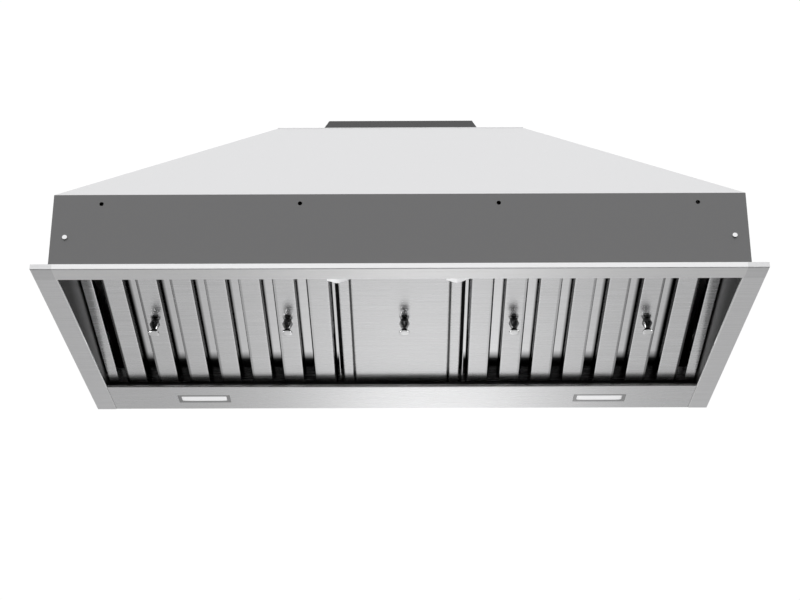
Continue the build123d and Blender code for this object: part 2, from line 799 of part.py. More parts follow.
def motor_bracket():
    """A spider behind the motor whose legs stand on the left side plate."""
    outer = -motor_outer_end - bracket_sheet
    foot_face = -blower_half - blower_sheet
    half = bracket_arm_width / 2
    tip = bracket_foot_radius + half
    arm = block(0, tip, -half, half, outer, -motor_outer_end)
    arm += block(tip - bracket_sheet, tip, -half, half, outer, foot_face)
    arm += block(bracket_foot_radius - half, tip, -half, half, foot_face - bracket_sheet, foot_face)
    spider = Pos(0, 0, outer + bracket_sheet / 2) * Cylinder(bracket_hub_radius, bracket_sheet)
    for number in range(bracket_arm_count):
        spider += Rot(0, 0, 180 + number * 360 / bracket_arm_count) * arm
    spider = Pos(0, blower_axis_back, blower_axis_height) * Rot(0, 90, 0) * spider
    for start in bracket_screw_places():
        spider -= rod(start, (-1, 0, 0), bracket_sheet, motor_screw_radius + screw_clearance)
    return spider


def motor_screws():
    screws = []
    for x, back, height in bracket_screw_places():
        head_face = x - bracket_sheet
        shank = rod((head_face, back, height), (1, 0, 0), bracket_sheet + blower_sheet, motor_screw_radius)
        head = rod((head_face, back, height), (-1, 0, 0), motor_screw_head_height, motor_screw_head_radius)
        screws.append(shank + head)
    return screws


# ================================================================ duct collar
def tapered_box(base_width, base_depth, top_width, top_depth):
    foot = Pos(0, collar_back, roof_top) * Rectangle(base_width, base_depth)
    head = Pos(0, collar_back, roof_top + collar_height) * Rectangle(top_width, top_depth)
    return loft([foot, head], ruled=True)


def collar_screw_places():
    half_width = collar_base_width / 2 + collar_screw_inset
    half_depth = collar_base_depth / 2 + collar_screw_inset
    return [
        (x, collar_back + y, roof_top) for x in (-half_width, half_width) for y in (-half_depth, half_depth)
    ]


def duct_collar():
    """A tapered rectangular spigot on a flange that is also the dampers' seat."""
    wall = 2 * collar_sheet
    tube = tapered_box(collar_base_width, collar_base_depth, collar_top_width, collar_top_depth)
    tube -= tapered_box(
        collar_base_width - wall, collar_base_depth - wall, collar_top_width - wall, collar_top_depth - wall
    )
    half_width = collar_base_width / 2 + collar_flange
    half_depth = collar_base_depth / 2 + collar_flange
    seat_top = roof_top + collar_sheet
    base_front = collar_back - half_depth
    base = block(-half_width, half_width, base_front, collar_back + half_depth, roof_top, seat_top)
    window = duct_hole_width / 2
    for side in (-1, 1):
        near, far = sorted((side * damper_bar_width / 2, side * duct_hole_depth / 2))
        base -= block(-window, window, collar_back + near, collar_back + far, roof_top, seat_top)
    for start in collar_screw_places():
        base -= rod(start, (0, 0, 1), collar_sheet, collar_screw_radius + screw_clearance)
    collar = tube + base
    for side in (-1, 1):
        collar -= damper_rod(side, damper_rod_radius + damper_rod_clearance, collar_base_width / 2)
    return collar


def damper_rod_level():
    return roof_top + collar_sheet + damper_rod_height


def damper_rod(side, radius, half_length):
    start = (-half_length, collar_back + side * damper_rod_offset, damper_rod_level())
    return rod(start, (1, 0, 0), 2 * half_length, radius)


def damper_flap(side):
    """One of two flaps that lie on the seat and swing up about their rods near the middle."""
    bottom = roof_top + collar_sheet + damper_seat_gap
    near, far = sorted((side * damper_rod_offset, side * damper_flap_reach))
    flap = block(
        -damper_flap_half_width, damper_flap_half_width, collar_back + near, collar_back + far,
        bottom, bottom + damper_flap_thickness,
    )
    taper = (collar_base_width - collar_top_width) / 2 / collar_height
    wall_side = collar_base_width / 2 - taper * (damper_rod_level() - roof_top)
    return flap + damper_rod(side, damper_rod_radius, wall_side + damper_rod_overhang)


def collar_screws():
    screws = []
    for x, back, height in collar_screw_places():
        head_face = height + collar_sheet
        shank = rod((x, back, head_face), (0, 0, -1), collar_screw_length, collar_screw_radius)
        head = rod((x, back, head_face), (0, 0, 1), collar_screw_head_height, collar_screw_head_radius)
        screws.append(shank + head)
    return screws


# ================================================================ switch set
def button_plate():
    half_length = button_plate_length / 2
    half_height = button_plate_height / 2
    front = channel_face + button_plate_thickness
    low = button_height - half_height
    plate = block(-half_length, half_length, channel_face, front, low, button_height + half_height)
    plate = fillet(plate.edges().filter_by(Axis.Y), button_plate_corner)
    for side in button_sides:
        start = (side, channel_face, button_height)
        plate -= rod(start, (0, 1, 0), button_plate_thickness, button_radius + button_clearance)
    return plate


def button_tail():
    """The Y of a button's hidden end when it is out."""
    return channel_face - sheet - button_depth


def switch_case():
    """The switch body behind the channel's face, with a blind guide for each button."""
    back = channel_face - sheet
    half_length = switch_case_length / 2
    half_height = switch_case_height / 2
    case = block(
        -half_length, half_length, back - switch_case_depth, back, button_height - half_height,
        button_height + half_height,
    )
    guide_end = button_tail() - button_travel - button_end_gap
    for side in button_sides:
        start = (side, guide_end, button_height)
        case -= rod(start, (0, 1, 0), back - guide_end, button_radius + button_clearance)
    return case


def push_button(side):
    tail = button_tail()
    length = channel_face + button_plate_thickness + button_proud - tail
    button = rod((side, tail, button_height), (0, 1, 0), length, button_radius)
    return fillet(button.edges().filter_by(GeomType.CIRCLE).sort_by(Axis.Y)[-1:], button_edge_radius)


# ================================================================ lamps
def lamp_block(lamp, inset, z_low, z_high):
    """A box over a lamp's plan, drawn in from its outline."""
    half_length = lamp_length / 2 - inset
    half_breadth = lamp_breadth / 2 - inset
    front = lamp_back - half_breadth
    back = lamp_back + half_breadth
    return block(lamp - half_length, lamp + half_length, front, back, z_low, z_high)


def lamp_bezel(lamp):
    bezel = lamp_block(lamp, 0, 0, lamp_bezel_thickness)
    bezel += lamp_block(lamp, lamp_body_inset, lamp_bezel_thickness, lamp_body_height)
    bezel -= lamp_block(lamp, lamp_body_inset + lamp_body_wall, lamp_bezel_thickness, lamp_body_height)
    return bezel - lamp_block(lamp, lamp_bezel_border, 0, lamp_bezel_thickness)


def lamp_inside(lamp, z_low, z_high):
    return lamp_block(lamp, lamp_body_inset + lamp_body_wall + lamp_lens_gap, z_low, z_high)


def lamp_lens(lamp):
    return lamp_inside(lamp, lamp_bezel_thickness, lamp_bezel_thickness + lamp_lens_thickness)


def led_board(lamp):
    return lamp_inside(lamp, lamp_board_height, lamp_board_height + lamp_board_thickness)


def lamp_heat_sink(lamp):
    sink = lamp_inside(lamp, lamp_board_height + lamp_board_thickness, lamp_body_height)
    return sink + lamp_block(lamp, lamp_body_inset, lamp_body_height, lamp_body_height + lamp_sink_cap)


# ================================================================ electric parts
def box_limits(inset):
    """X, Y and Z limits of the wiring box, drawn in by a thickness."""
    back = skirt_inner_back
    return (
        box_side - box_length / 2 + inset, box_side + box_length / 2 - inset, back - box_depth + inset,
        back - inset, rear_wall_top + inset, rear_wall_top + box_height - inset,
    )


def gland_start():
    return (box_side, skirt_back, rear_wall_top + gland_height)


def wiring_box():
    """The tray of the wiring box, screwed to the back panel and standing on the rear wall's flange."""
    x_low, x_high, y_low, y_high, z_low, z_high = box_limits(0)
    body = block(x_low, x_high, y_low + box_sheet, y_high, z_low, z_high)
    inner = box_limits(box_sheet)
    body -= block(inner[0], inner[1], y_low, inner[3], inner[4], inner[5])
    start = (box_side, skirt_inner_back, rear_wall_top + gland_height)
    return body - rod(start, (0, -1, 0), box_sheet, gland_radius + gland_hole_clearance)


def wiring_box_cover():
    x_low, x_high, y_low, y_high, z_low, z_high = box_limits(0)
    return block(x_low, x_high, y_low, y_low + box_sheet, z_low, z_high)


def terminal_block():
    x_low, _, _, y_high, z_low, _ = box_limits(box_sheet)
    top = z_low + terminal_height
    body = block(x_low, x_low + terminal_length, y_high - terminal_depth, y_high, z_low, top)
    pitch = terminal_length / terminal_poles
    for number in range(terminal_poles):
        start = (x_low + (number + 0.5) * pitch, y_high - terminal_depth / 2, top)
        body -= rod(start, (0, 0, -1), terminal_pole_depth, terminal_pole_radius)
    return body


def run_capacitor():
    _, _, _, y_high, z_low, _ = box_limits(box_sheet)
    start = (box_side + capacitor_side, y_high - terminal_depth, z_low)
    return rod(start, (0, 0, 1), capacitor_length, capacitor_radius)


def cable_gland():
    """The hollow bush of the supply cable's inlet, flanged outside the back panel."""
    start = gland_start()
    bush = rod(start, (0, -1, 0), gland_length, gland_radius)
    bush += rod(start, (0, 1, 0), gland_flange_thickness, gland_flange_radius)
    outer_end = (start[0], start[1] + gland_flange_thickness, start[2])
    return bush - rod(outer_end, (0, -1, 0), gland_length + gland_flange_thickness, gland_bore_radius)


def corner_screws():
    """The two pan-head screws that show low on the front skirt."""
    screws = []
    for side in (-corner_screw_side, corner_screw_side):
        start = (side, skirt_front_inset, corner_screw_height)
        head = rod(start, (0, -1, 0), corner_screw_head_height, corner_screw_head_radius)
        head = fillet(head.edges().filter_by(GeomType.CIRCLE).sort_by(Axis.Y)[:1], corner_screw_edge_radius)
        screws.append(head + rod(start, (0, 1, 0), corner_screw_length, corner_screw_radius))
    return screws


# ================================================================ the files
def save_pair(name, solids):
    """Writes a right-hand node and its mirror image on the left."""
    save(f"right_{name}", *solids)
    save(f"left_{name}", *[mirrored(solid) for solid in solids])


def main():
    os.makedirs("parts", exist_ok=True)
    save("rim_frame", rim_frame())
    save("rear_lamp_strip", rear_lamp_strip())
    save("front_skirt", front_skirt())
    save_pair("skirt", [right_skirt()])
    save("back_panel", back_panel())
    save("front_roof_slope", slab_between(front_slope_points(0), front_slope_points(sheet)))
    save_pair("roof_slope", [slab_between(right_slope_points(0), right_slope_points(sheet))])
    save("top_plate", top_plate())
    save("front_channel", front_channel())
    save("front_ledge", front_ledge())
    save_pair("cavity_wall", [right_cavity_wall()])
    save("rear_cavity_wall", rear_cavity_wall())
    save("divider_rails", *divider_rails())
    save("pivot_lugs", *pivot_lugs())
    save_pair("filter_frame", filter_frame())
    save_pair("filter_front_baffles", filter_front_baffles())
    save_pair("filter_rear_baffles", filter_rear_baffles())
    save_pair("filter_knobs", filter_knobs())
    save("center_tray", center_tray())
    save("center_plate", center_plate())
    save("center_knob", pull_knob(panel_knob_side))
    save("left_spring_clip", spring_clip(-1))
    save("right_spring_clip", spring_clip(1))
    save("blower_scroll", blower_scroll())
    save("blower_left_side", blower_left_side())
    save("blower_right_side", blower_side(blower_half))
    save("inlet_rings", inlet_ring(-1), inlet_ring(1))
    save("impeller", impeller())
    save("motor_housing", motor_housing())
    save("motor_shaft", motor_shaft())
    save("motor_bracket", motor_bracket())
    save("motor_screws", *motor_screws())
    save("duct_collar", duct_collar())
    save("front_damper_flap", damper_flap(-1))
    save("rear_damper_flap", damper_flap(1))
    save("collar_screws", *collar_screws())
    save("button_plate", button_plate())
    save("switch_case", switch_case())
    for name, side in zip(("light", "off", "low_speed", "medium_speed", "high_speed"), button_sides):
        save(f"{name}_button", push_button(side))
    for name, make in (
        ("lamp_bezels", lamp_bezel), ("lamp_lenses", lamp_lens),
        ("led_boards", led_board), ("lamp_heat_sinks", lamp_heat_sink),
    ):
        save(name, *[make(lamp) for lamp in lamp_sides])
    save("wiring_box", wiring_box())
    save("wiring_box_cover", wiring_box_cover())
    save("terminal_block", terminal_block())
    save("run_capacitor", run_capacitor())
    save("cable_gland", cable_gland())
    save("corner_screws", *corner_screws())


main()
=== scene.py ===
# %% [markdown]
# # A range hood insert
#
# A hood insert is a box of folded sheet steel that is screwed up into a kitchen cabinet, so that only
# its brushed rim, its lamps and its grease filters show, from below. The model's frame already holds
# every sheet at its real size. What is left for us is light, finish, and a few turned and pressed
# pieces whose roundness a plain construction model leaves out. All lengths are in metres.

# %% Load the frame
import bmesh
import bpy
import json
import math
import numpy as np
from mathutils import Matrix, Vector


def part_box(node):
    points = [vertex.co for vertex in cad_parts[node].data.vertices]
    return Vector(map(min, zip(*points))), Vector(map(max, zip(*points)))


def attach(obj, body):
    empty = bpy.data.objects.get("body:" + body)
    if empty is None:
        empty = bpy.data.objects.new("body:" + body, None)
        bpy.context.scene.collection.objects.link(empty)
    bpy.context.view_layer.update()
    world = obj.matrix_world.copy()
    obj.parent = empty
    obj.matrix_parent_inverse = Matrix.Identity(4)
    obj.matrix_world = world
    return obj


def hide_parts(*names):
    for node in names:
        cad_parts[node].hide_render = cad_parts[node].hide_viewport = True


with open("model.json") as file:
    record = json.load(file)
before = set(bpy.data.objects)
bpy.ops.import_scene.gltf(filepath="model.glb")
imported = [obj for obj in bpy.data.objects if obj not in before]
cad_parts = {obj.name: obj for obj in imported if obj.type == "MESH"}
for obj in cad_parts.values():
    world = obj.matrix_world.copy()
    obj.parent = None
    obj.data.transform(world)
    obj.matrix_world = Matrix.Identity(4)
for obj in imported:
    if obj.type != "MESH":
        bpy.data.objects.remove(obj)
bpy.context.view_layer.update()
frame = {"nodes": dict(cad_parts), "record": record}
nodes = frame["nodes"]

# %% [markdown]
# ## The camera
#
# The hood is seen from in front and from below, as by someone standing at the cooker. A long lens
# keeps the rim's two arms from splaying too much. The camera could track a target, but it is upright,
# so its tilt upwards and a slight turn to the left, both in degrees, say the same with two numbers.

# %% Camera
CAMERA_PLACE = (0.01496, -2.0639, -0.8495)
CAMERA_LENS_MM = 76.61
CAMERA_SENSOR_MM = 36.0
CAMERA_TILT_UP = 23.896
CAMERA_TURN_LEFT = 0.439

camera_data = bpy.data.cameras.new("studio_camera")
camera_data.lens = CAMERA_LENS_MM
camera_data.sensor_width = CAMERA_SENSOR_MM
camera = bpy.data.objects.new("studio_camera", camera_data)
camera.location = CAMERA_PLACE
camera.rotation_euler = (math.radians(90 + CAMERA_TILT_UP), 0, math.radians(CAMERA_TURN_LEFT))
bpy.context.collection.objects.link(camera)
bpy.context.scene.camera = camera
print("camera lens", camera_data.lens, "mm")

# %% [markdown]
# ## A short way to write materials
#
# A material in Blender is a tree of nodes. One node reads where a point lies, others count with it, and
# the last one, the shader, says how the surface takes the light. Such trees are mostly drawn by hand
# in the editor. Written down they are easier to repeat, so a small class makes a node, sets its inputs,
# and links whatever is itself the output of a node. Its last four methods are all that the finishes
# need to say where a tone changes: a range carried over to another, a mask that is 1 past an edge,
# its opposite, and a multiplier that a mask switches on.

# %% A node tree in few words
class Graph:
    """Makes a node, sets its inputs, and links what is a socket."""

    def __init__(self, tree):
        self.tree = tree

    def put(self, socket, value):
        """A value that is a node's output is linked to the socket, and any other is set on it."""
        if isinstance(value, bpy.types.NodeSocket):
            self.tree.links.new(value, socket)
        else:
            socket.default_value = value

    def fill(self, node, **inputs):
        """Sets inputs by their names, which have a space for each underscore."""
        for name, value in inputs.items():
            self.put(node.inputs[name.replace("_", " ")], value)

    def node(self, kind, **inputs):
        """A new node of the kind, with its inputs set by their names."""
        made = self.tree.nodes.new(kind)
        self.fill(made, **inputs)
        return made

    def math(self, operation, first, second=0.0):
        """One step of arithmetic with the first value and the second."""
        made = self.node("ShaderNodeMath")
        made.operation = operation
        self.put(made.inputs[0], first)
        self.put(made.inputs[1], second)
        return made.outputs[0]

    def vector_math(self, operation, vector):
        """One step with a vector, whose other input is still to be set."""
        made = self.node("ShaderNodeVectorMath")
        made.operation = operation
        self.put(made.inputs[0], vector)
        return made

    def times(self, product, *factors):
        """The product of all that is given."""
        for factor in factors:
            product = self.math("MULTIPLY", product, factor)
        return product

    def place(self):
        """Where a point of the piece lies at rest."""
        return self.node("ShaderNodeTexCoord").outputs["Object"]

    def places(self):
        """The X, Y and Z of that place."""
        parts = self.node("ShaderNodeSeparateXYZ", Vector=self.place())
        return parts.outputs["X"], parts.outputs["Y"], parts.outputs["Z"]

    def spread(self, value, low, high, new_low, new_high):
        """Carries the range from low to high over to new_low to new_high, and clamps it there."""
        made = self.node("ShaderNodeMapRange", Value=value, From_Min=low, From_Max=high,
                         To_Min=new_low, To_Max=new_high)
        return made.outputs[0]

    def past(self, value, edge, soft):
        """0 below the edge and 1 past it, with a ramp of twice the softness between."""
        return self.spread(value, edge - soft, edge + soft, 0.0, 1.0)

    def short_of(self, value, edge, soft):
        """1 below the edge and 0 past it: one minus the mask above."""
        return self.math("SUBTRACT", 1.0, self.past(value, edge, soft))

    def dim(self, mask, level):
        """A tone's multiplier that goes from 1 to the level where the mask is 1."""
        return self.math("ADD", self.times(mask, self.math("SUBTRACT", level, 1.0)), 1.0)


print("a graph has", ", ".join(name for name in vars(Graph) if not name.startswith("_")))

# %% A new finish and a grey
def new_finish(name):
    """A material, a graph for its tree, and the shader that stands at the tree's end."""
    finish = bpy.data.materials.new(name)
    finish.use_nodes = True
    tree = finish.node_tree
    return finish, Graph(tree), tree.nodes["Principled BSDF"]


def grey(value):
    """The same value three times, with one hundredth more of blue, as steel has."""
    return (value, value, value * 1.01)


print("a middle grey is", grey(0.5))

# %% [markdown]
# ## A white studio
#
# Steel has almost no colour of its own: it shows what it faces. So the studio is made of what the steel
# should mirror. The world is an even white, and far below the hood lies a wide floor. The floor is
# a plain card rather than a part of the world, because it is greyer: faces that look down get less
# light than the roof does. It has no gloss, so that it never mirrors the white behind it.

# %% World and floor
WORLD_LIGHT = 1.02
FLOOR_LEVEL = -1.3
FLOOR_REACH = 30.0
FLOOR_TONE = 0.445
FLOOR_ROUGHNESS = 0.9

bpy.context.scene.view_settings.view_transform = "Standard"
world = bpy.data.worlds.new("white_studio")
bpy.context.scene.world = world
world.use_nodes = True
background = world.node_tree.nodes["Background"]
background.inputs["Color"].default_value = (1, 1, 1, 1)
background.inputs["Strength"].default_value = WORLD_LIGHT


def flat_card(name, x_low, x_high, y_low, y_high, level):
    """A level rectangle, facing up: x and y run between their limits and z is constant."""
    corners = np.array([(x_low, y_low), (x_high, y_low), (x_high, y_high), (x_low, y_high)])
    points = np.column_stack([corners, np.full(4, level)])
    mesh = bpy.data.meshes.new(name)
    mesh.from_pydata(points.tolist(), [], [(0, 1, 2, 3)])
    card = bpy.data.objects.new(name, mesh)
    bpy.context.collection.objects.link(card)
    return card


floor = flat_card("studio_floor", -FLOOR_REACH, FLOOR_REACH, -FLOOR_REACH, FLOOR_REACH, FLOOR_LEVEL)
floor_finish, floor_graph, floor_shader = new_finish("studio_floor_paint")
floor_graph.fill(floor_shader, Base_Color=(FLOOR_TONE, FLOOR_TONE, FLOOR_TONE, 1),
                 Roughness=FLOOR_ROUGHNESS, Specular_IOR_Level=0.0)
floor.data.materials.append(floor_finish)
print("floor at", FLOOR_LEVEL, "m")

# %% [markdown]
# ## Glow cards and a black flag
#
# Behind the hood two glowing cards lie on the floor. The sloping filters and the plain panel mirror the
# near one, and the level rim mirrors the far one. Both glow most near the hood's middle line, which
# makes the middle of the steel lighter than its ends. On the camera's side lies a black flag, a card
# that photographers use to give bright metal its dark edges. Lamps would light the walls and the roof
# as well. These cards are seen by reflections only, so they change nothing but what a surface mirrors.

# %% Two glow cards and the flag
GLOW_HALF_WIDTH = 2.5
GLOW_LIFT = 0.01
# From where to where a card reaches in Y, and then the values in the formula of its light.
NEAR_GLOW = {
    "y": (0.5, 1.95), "start": -0.46, "gain": 0.57, "most": 0.62,
    "middle": 0.05, "width": 0.40, "power": 2.0,
}
FAR_GLOW = {
    "y": (2.1, 9.0), "start": -1.95, "gain": 0.82, "most": 1.3,
    "middle": 0.11, "width": 0.53, "power": 2.4,
}
FLAG_HALF_WIDTH = 5.0
FLAG_LIFT = 0.02
FLAG_Y = (-12.0, -0.75)
FLAG_TONE = 0.01


def glow_finish(name, glow):
    """Light of (start + gain y), from none to the most, times e^-(|x - middle| / width)^power."""
    finish, graph, _ = new_finish(name)
    finish.node_tree.nodes.clear()
    x, y, _ = graph.places()
    share = graph.math("DIVIDE", graph.math("SUBTRACT", x, glow["middle"]), glow["width"])
    share = graph.math("POWER", graph.math("ABSOLUTE", share), glow["power"])
    falloff = graph.math("EXPONENT", graph.times(share, -1.0))
    level = graph.math("ADD", graph.times(y, glow["gain"]), glow["start"])
    level = graph.math("MINIMUM", graph.math("MAXIMUM", level, 0.0), glow["most"])
    light = graph.node("ShaderNodeEmission", Strength=graph.times(falloff, level))
    clear = graph.node("ShaderNodeBsdfTransparent")
    both = graph.node("ShaderNodeAddShader")
    graph.put(both.inputs[0], light.outputs[0])
    graph.put(both.inputs[1], clear.outputs[0])
    graph.node("ShaderNodeOutputMaterial", Surface=both.outputs[0])
    return finish


def flag_finish():
    """Cloth that gives nothing back."""
    finish, graph, shader = new_finish("studio_flag")
    graph.fill(shader, Base_Color=(FLAG_TONE, FLAG_TONE, FLAG_TONE, 1), Roughness=1.0,
               Specular_IOR_Level=0.0)
    return finish


cards = []
for name, glow in (("studio_near_glow", NEAR_GLOW), ("studio_far_glow", FAR_GLOW)):
    card = flat_card(name, -GLOW_HALF_WIDTH, GLOW_HALF_WIDTH, *glow["y"], FLOOR_LEVEL + GLOW_LIFT)
    card.data.materials.append(glow_finish(name, glow))
    cards.append(card)
flag = flat_card("studio_black_flag", -FLAG_HALF_WIDTH, FLAG_HALF_WIDTH, *FLAG_Y, FLOOR_LEVEL + FLAG_LIFT)
flag.data.materials.append(flag_finish())
for card in cards + [flag]:
    card.visible_camera = False
    card.visible_diffuse = False
    card.visible_shadow = False
print("glow cards are", 2 * GLOW_HALF_WIDTH, "m wide, flag", 2 * FLAG_HALF_WIDTH, "m")

# %% [markdown]
# ## Two softboxes for the bright pieces
#
# The chromed knobs and the spring clips face the black flag and the dark cavity, and would show little
# else. In a studio a softbox at each side gives such pieces their bright edges. Light linking limits
# each softbox to the pieces of one collection, which they join when they are made, so that the steel
# round them isn't lit as well.

# %% Softboxes
SOFTBOX_SIZE = 0.8
SOFTBOX_SIDE = 1.4
SOFTBOX_Y = -0.2
SOFTBOX_LEVEL = -0.4
LEFT_SOFTBOX_WATTS = 32.0
RIGHT_SOFTBOX_WATTS = 18.0

bright_pieces = bpy.data.collections.new("lit_by_side_lights")


def side_light(name, x, power):
    """A square softbox that lights only the bright pieces.

    A light shines against its own Z, so Z is turned away from the hood's middle.
    """
    lamp = bpy.data.lights.new(name, "AREA")
    lamp.size = SOFTBOX_SIZE
    lamp.energy = power
    light = bpy.data.objects.new(name, lamp)
    light.location = (x, SOFTBOX_Y, SOFTBOX_LEVEL)
    light.rotation_euler = light.location.to_track_quat("Z", "Y").to_euler()
    light.light_linking.receiver_collection = bright_pieces
    bpy.context.collection.objects.link(light)


side_light("studio_left_softbox", -SOFTBOX_SIDE, LEFT_SOFTBOX_WATTS)
side_light("studio_right_softbox", SOFTBOX_SIDE, RIGHT_SOFTBOX_WATTS)
print("softboxes", SOFTBOX_SIDE, "m to each side")

# %% [markdown]
# ## Brushed steel
#
# Brushing leaves fine scratches that all run one way, here along the hood. Two things show from a
# step away: long faint streaks, and a reflection that is drawn out across the scratches. The streaks
# are a noise pattern squeezed to thin lines, by scaling it far more across the brushing than along
# it. The drawn-out reflection is the shader's anisotropy, whose tangent lies across the scratches: it
# is the cross product of the surface's normal and the brushing direction.
#
# Sheet steel is also never one even tone where light falls. An even white world lights folds and gaps
# that a room leaves in shade, and a sharp modelled edge doesn't catch a highlight as a rounded real one
# does. So each finish may take a shade, a function that returns a multiplier of the tone: painted shade
# in folds and gaps, and painted highlights along edges.

# %% Brushed steel
STREAKS_ALONG = 9.0
STREAKS_ACROSS = 620.0
BRUSHING = (1.0, 0.001, 0.002)
NOISE_REACH = (0.3, 0.7)
BRUSHED_ROUGHNESS_SPREAD = 0.15


def tinted(graph, tone, pattern, spread, shade):
    """The tone, times one plus or minus the spread as the pattern goes, times the shade."""
    strength = graph.spread(pattern, *NOISE_REACH, 1.0 - spread, 1.0 + spread)
    if shade:
        strength = graph.times(strength, shade(graph))
    colour = graph.vector_math("SCALE", tone)
    graph.fill(colour, Scale=strength)
    return colour.outputs[0]


def brushed(name, tone, roughness, streak=0.05, drawn=0.7, shade=None):
    """Steel brushed along X: metal whose colour and roughness follow squeezed noise."""
    finish, graph, shader = new_finish(name)
    squeeze = (STREAKS_ALONG, STREAKS_ACROSS, STREAKS_ACROSS)
    squeezed = graph.node("ShaderNodeMapping", Vector=graph.place(), Scale=squeeze)
    streaks = graph.node("ShaderNodeTexNoise", Vector=squeezed.outputs[0], Scale=1.0,
                         Detail=3.0, Roughness=0.55)
    pattern = streaks.outputs["Fac"]
    across = graph.vector_math("CROSS_PRODUCT", graph.node("ShaderNodeNewGeometry").outputs["Normal"])
    across.inputs[1].default_value = BRUSHING
    smoothest = roughness * (1 - BRUSHED_ROUGHNESS_SPREAD)
    roughest = roughness * (1 + BRUSHED_ROUGHNESS_SPREAD)
    graph.fill(shader, Metallic=1.0, Anisotropic=drawn, Tangent=across.outputs[0],
               Base_Color=tinted(graph, tone, pattern, streak, shade),
               Roughness=graph.spread(pattern, *NOISE_REACH, smoothest, roughest))
    return finish


print("streaks", round(STREAKS_ACROSS / STREAKS_ALONG), "times as long as they are broad")

# %% [markdown]
# ## Mill sheet, paint and plastic
#
# Sheet as it leaves the mill, zinc, enamel and nylon have no direction. What keeps them from looking
# like bare numbers is a fine, even grain in the colour and in the roughness. A photograph of a sheet
# would bring its own light along, so the grain is noise too, this time not squeezed. Coarser noise
# and a stronger grain give the large mottled crystals of galvanised sheet.

# %% Sheet with a fine grain, paint and plastic
GRAIN_SCALE = 1500.0
GRAIN_DETAIL = 2.0
GRAINED_ROUGHNESS_SPREAD = 0.2


def grained(name, tone, roughness, metallic, grain=0.04, scale=GRAIN_SCALE, shade=None, glow=0.0):
    """A surface without direction: colour and roughness follow an even, fine noise."""
    finish, graph, shader = new_finish(name)
    noise = graph.node("ShaderNodeTexNoise", Vector=graph.place(), Scale=scale, Detail=GRAIN_DETAIL)
    pattern = noise.outputs["Fac"]
    colour = tinted(graph, tone, pattern, grain, shade)
    smoothest = roughness * (1 - GRAINED_ROUGHNESS_SPREAD)
    roughest = roughness * (1 + GRAINED_ROUGHNESS_SPREAD)
    graph.fill(shader, Metallic=metallic, Base_Color=colour,
               Roughness=graph.spread(pattern, 0.0, 1.0, smoothest, roughest))
    if glow:
        graph.fill(shader, Emission_Color=colour, Emission_Strength=glow)
    return finish


print("grain of about", round(1000 / GRAIN_SCALE, 2), "mm")

# %% [markdown]
# ## Shade and edges of the rim
#
# The rim is a U of sheet: the front strip and the two arms, with a lip turned up at the front. The strip
# with the lamps lies between the arms. Where it meets them there is a seam, a dark line on the strip
# beside a painted highlight on the arm's edge. The fold at the front is a darker line of painted shade,
# and the lip above it is lighter than the fold, in painted light. The front strip and the arms have
# painted tones of their own, and the front strip between the arms is painted lighter. Grooves and bevels
# could draw these lines too, but they are about as fine as a pixel from where we stand, and a tone that
# follows the distance from the model's edges stays even.

# %% Rim and lamp strip
rim_low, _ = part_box("rim_frame")
strip_low, strip_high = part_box("rear_lamp_strip")
SEAM_GAP = 0.00015
arm_side = strip_high[0] + SEAM_GAP
FRONT_STRIP_FROM = 0.2092
FRONT_STRIP_BLEND = 0.0005
# Painted shade on the front strip's underside and painted light on the arms'.
FRONT_TONE = 0.945
ARM_TONE = 1.035
# A painted highlight along the arms' inner edges and the lamp strip's inner edge, and painted light on
# the front strip between the arms.
HIGHLIGHT_BREADTH = 0.0013
RIM_HIGHLIGHT_TONE = 1.18
# Painted shade along the front fold, and painted light on the lip above it.
FOLD_BREADTH = 0.0016
FOLD_TONE = 0.82
LIP_FOOT = 0.0004
LIP_BREADTH = 0.002
LIP_TONE = 1.095
SEAM_BREADTH = 0.0011
SEAM_TONE = 0.7
# The painted highlight along the lamp strip's inner edge.
STRIP_HIGHLIGHT_TONE = 1.2


def rim_shade(graph):
    """The product of four tones of painted light and shade, each over its part of the rim.

    The underside has the front strip's tone or the arms', painted shade on the one and painted light on
    the other. From the hood's middle to just past the arms' inner edges comes painted light: a highlight
    along those edges, and a lighter front strip and lip between them. The last bit of the front has the
    fold's painted shade, and there all that is above the lip's foot has the lip's painted light too.
    """
    x, y, z = graph.places()
    forwards = graph.times(y, -1.0)
    sheet_tone = graph.spread(forwards, FRONT_STRIP_FROM - FRONT_STRIP_BLEND,
                              FRONT_STRIP_FROM + FRONT_STRIP_BLEND, ARM_TONE, FRONT_TONE)
    sheet = graph.dim(graph.short_of(z, LIP_FOOT, soft=0.0002), sheet_tone)
    painted_light = graph.short_of(graph.math("ABSOLUTE", x), arm_side + HIGHLIGHT_BREADTH, soft=0.0003)
    fold = graph.past(forwards, -rim_low[1] - FOLD_BREADTH, soft=0.0004)
    front = graph.past(forwards, -rim_low[1] - LIP_BREADTH, soft=0.0005)
    lip = graph.times(graph.past(z, LIP_FOOT, soft=0.0002), front)
    return graph.times(sheet, graph.dim(painted_light, RIM_HIGHLIGHT_TONE), graph.dim(fold, FOLD_TONE),
                       graph.dim(lip, LIP_TONE))


def strip_shade(graph):
    """Dark at both ends, for the seam, and a painted highlight along the inner edge."""
    x, y, _ = graph.places()
    seam = graph.past(graph.math("ABSOLUTE", x), strip_high[0] - SEAM_BREADTH, soft=0.0002)
    inner = graph.past(graph.times(y, -1.0), -strip_low[1] - HIGHLIGHT_BREADTH, soft=0.0003)
    return graph.times(graph.dim(seam, SEAM_TONE), graph.dim(inner, STRIP_HIGHLIGHT_TONE))


print("arms' inner edges at", round(arm_side, 4), "m")

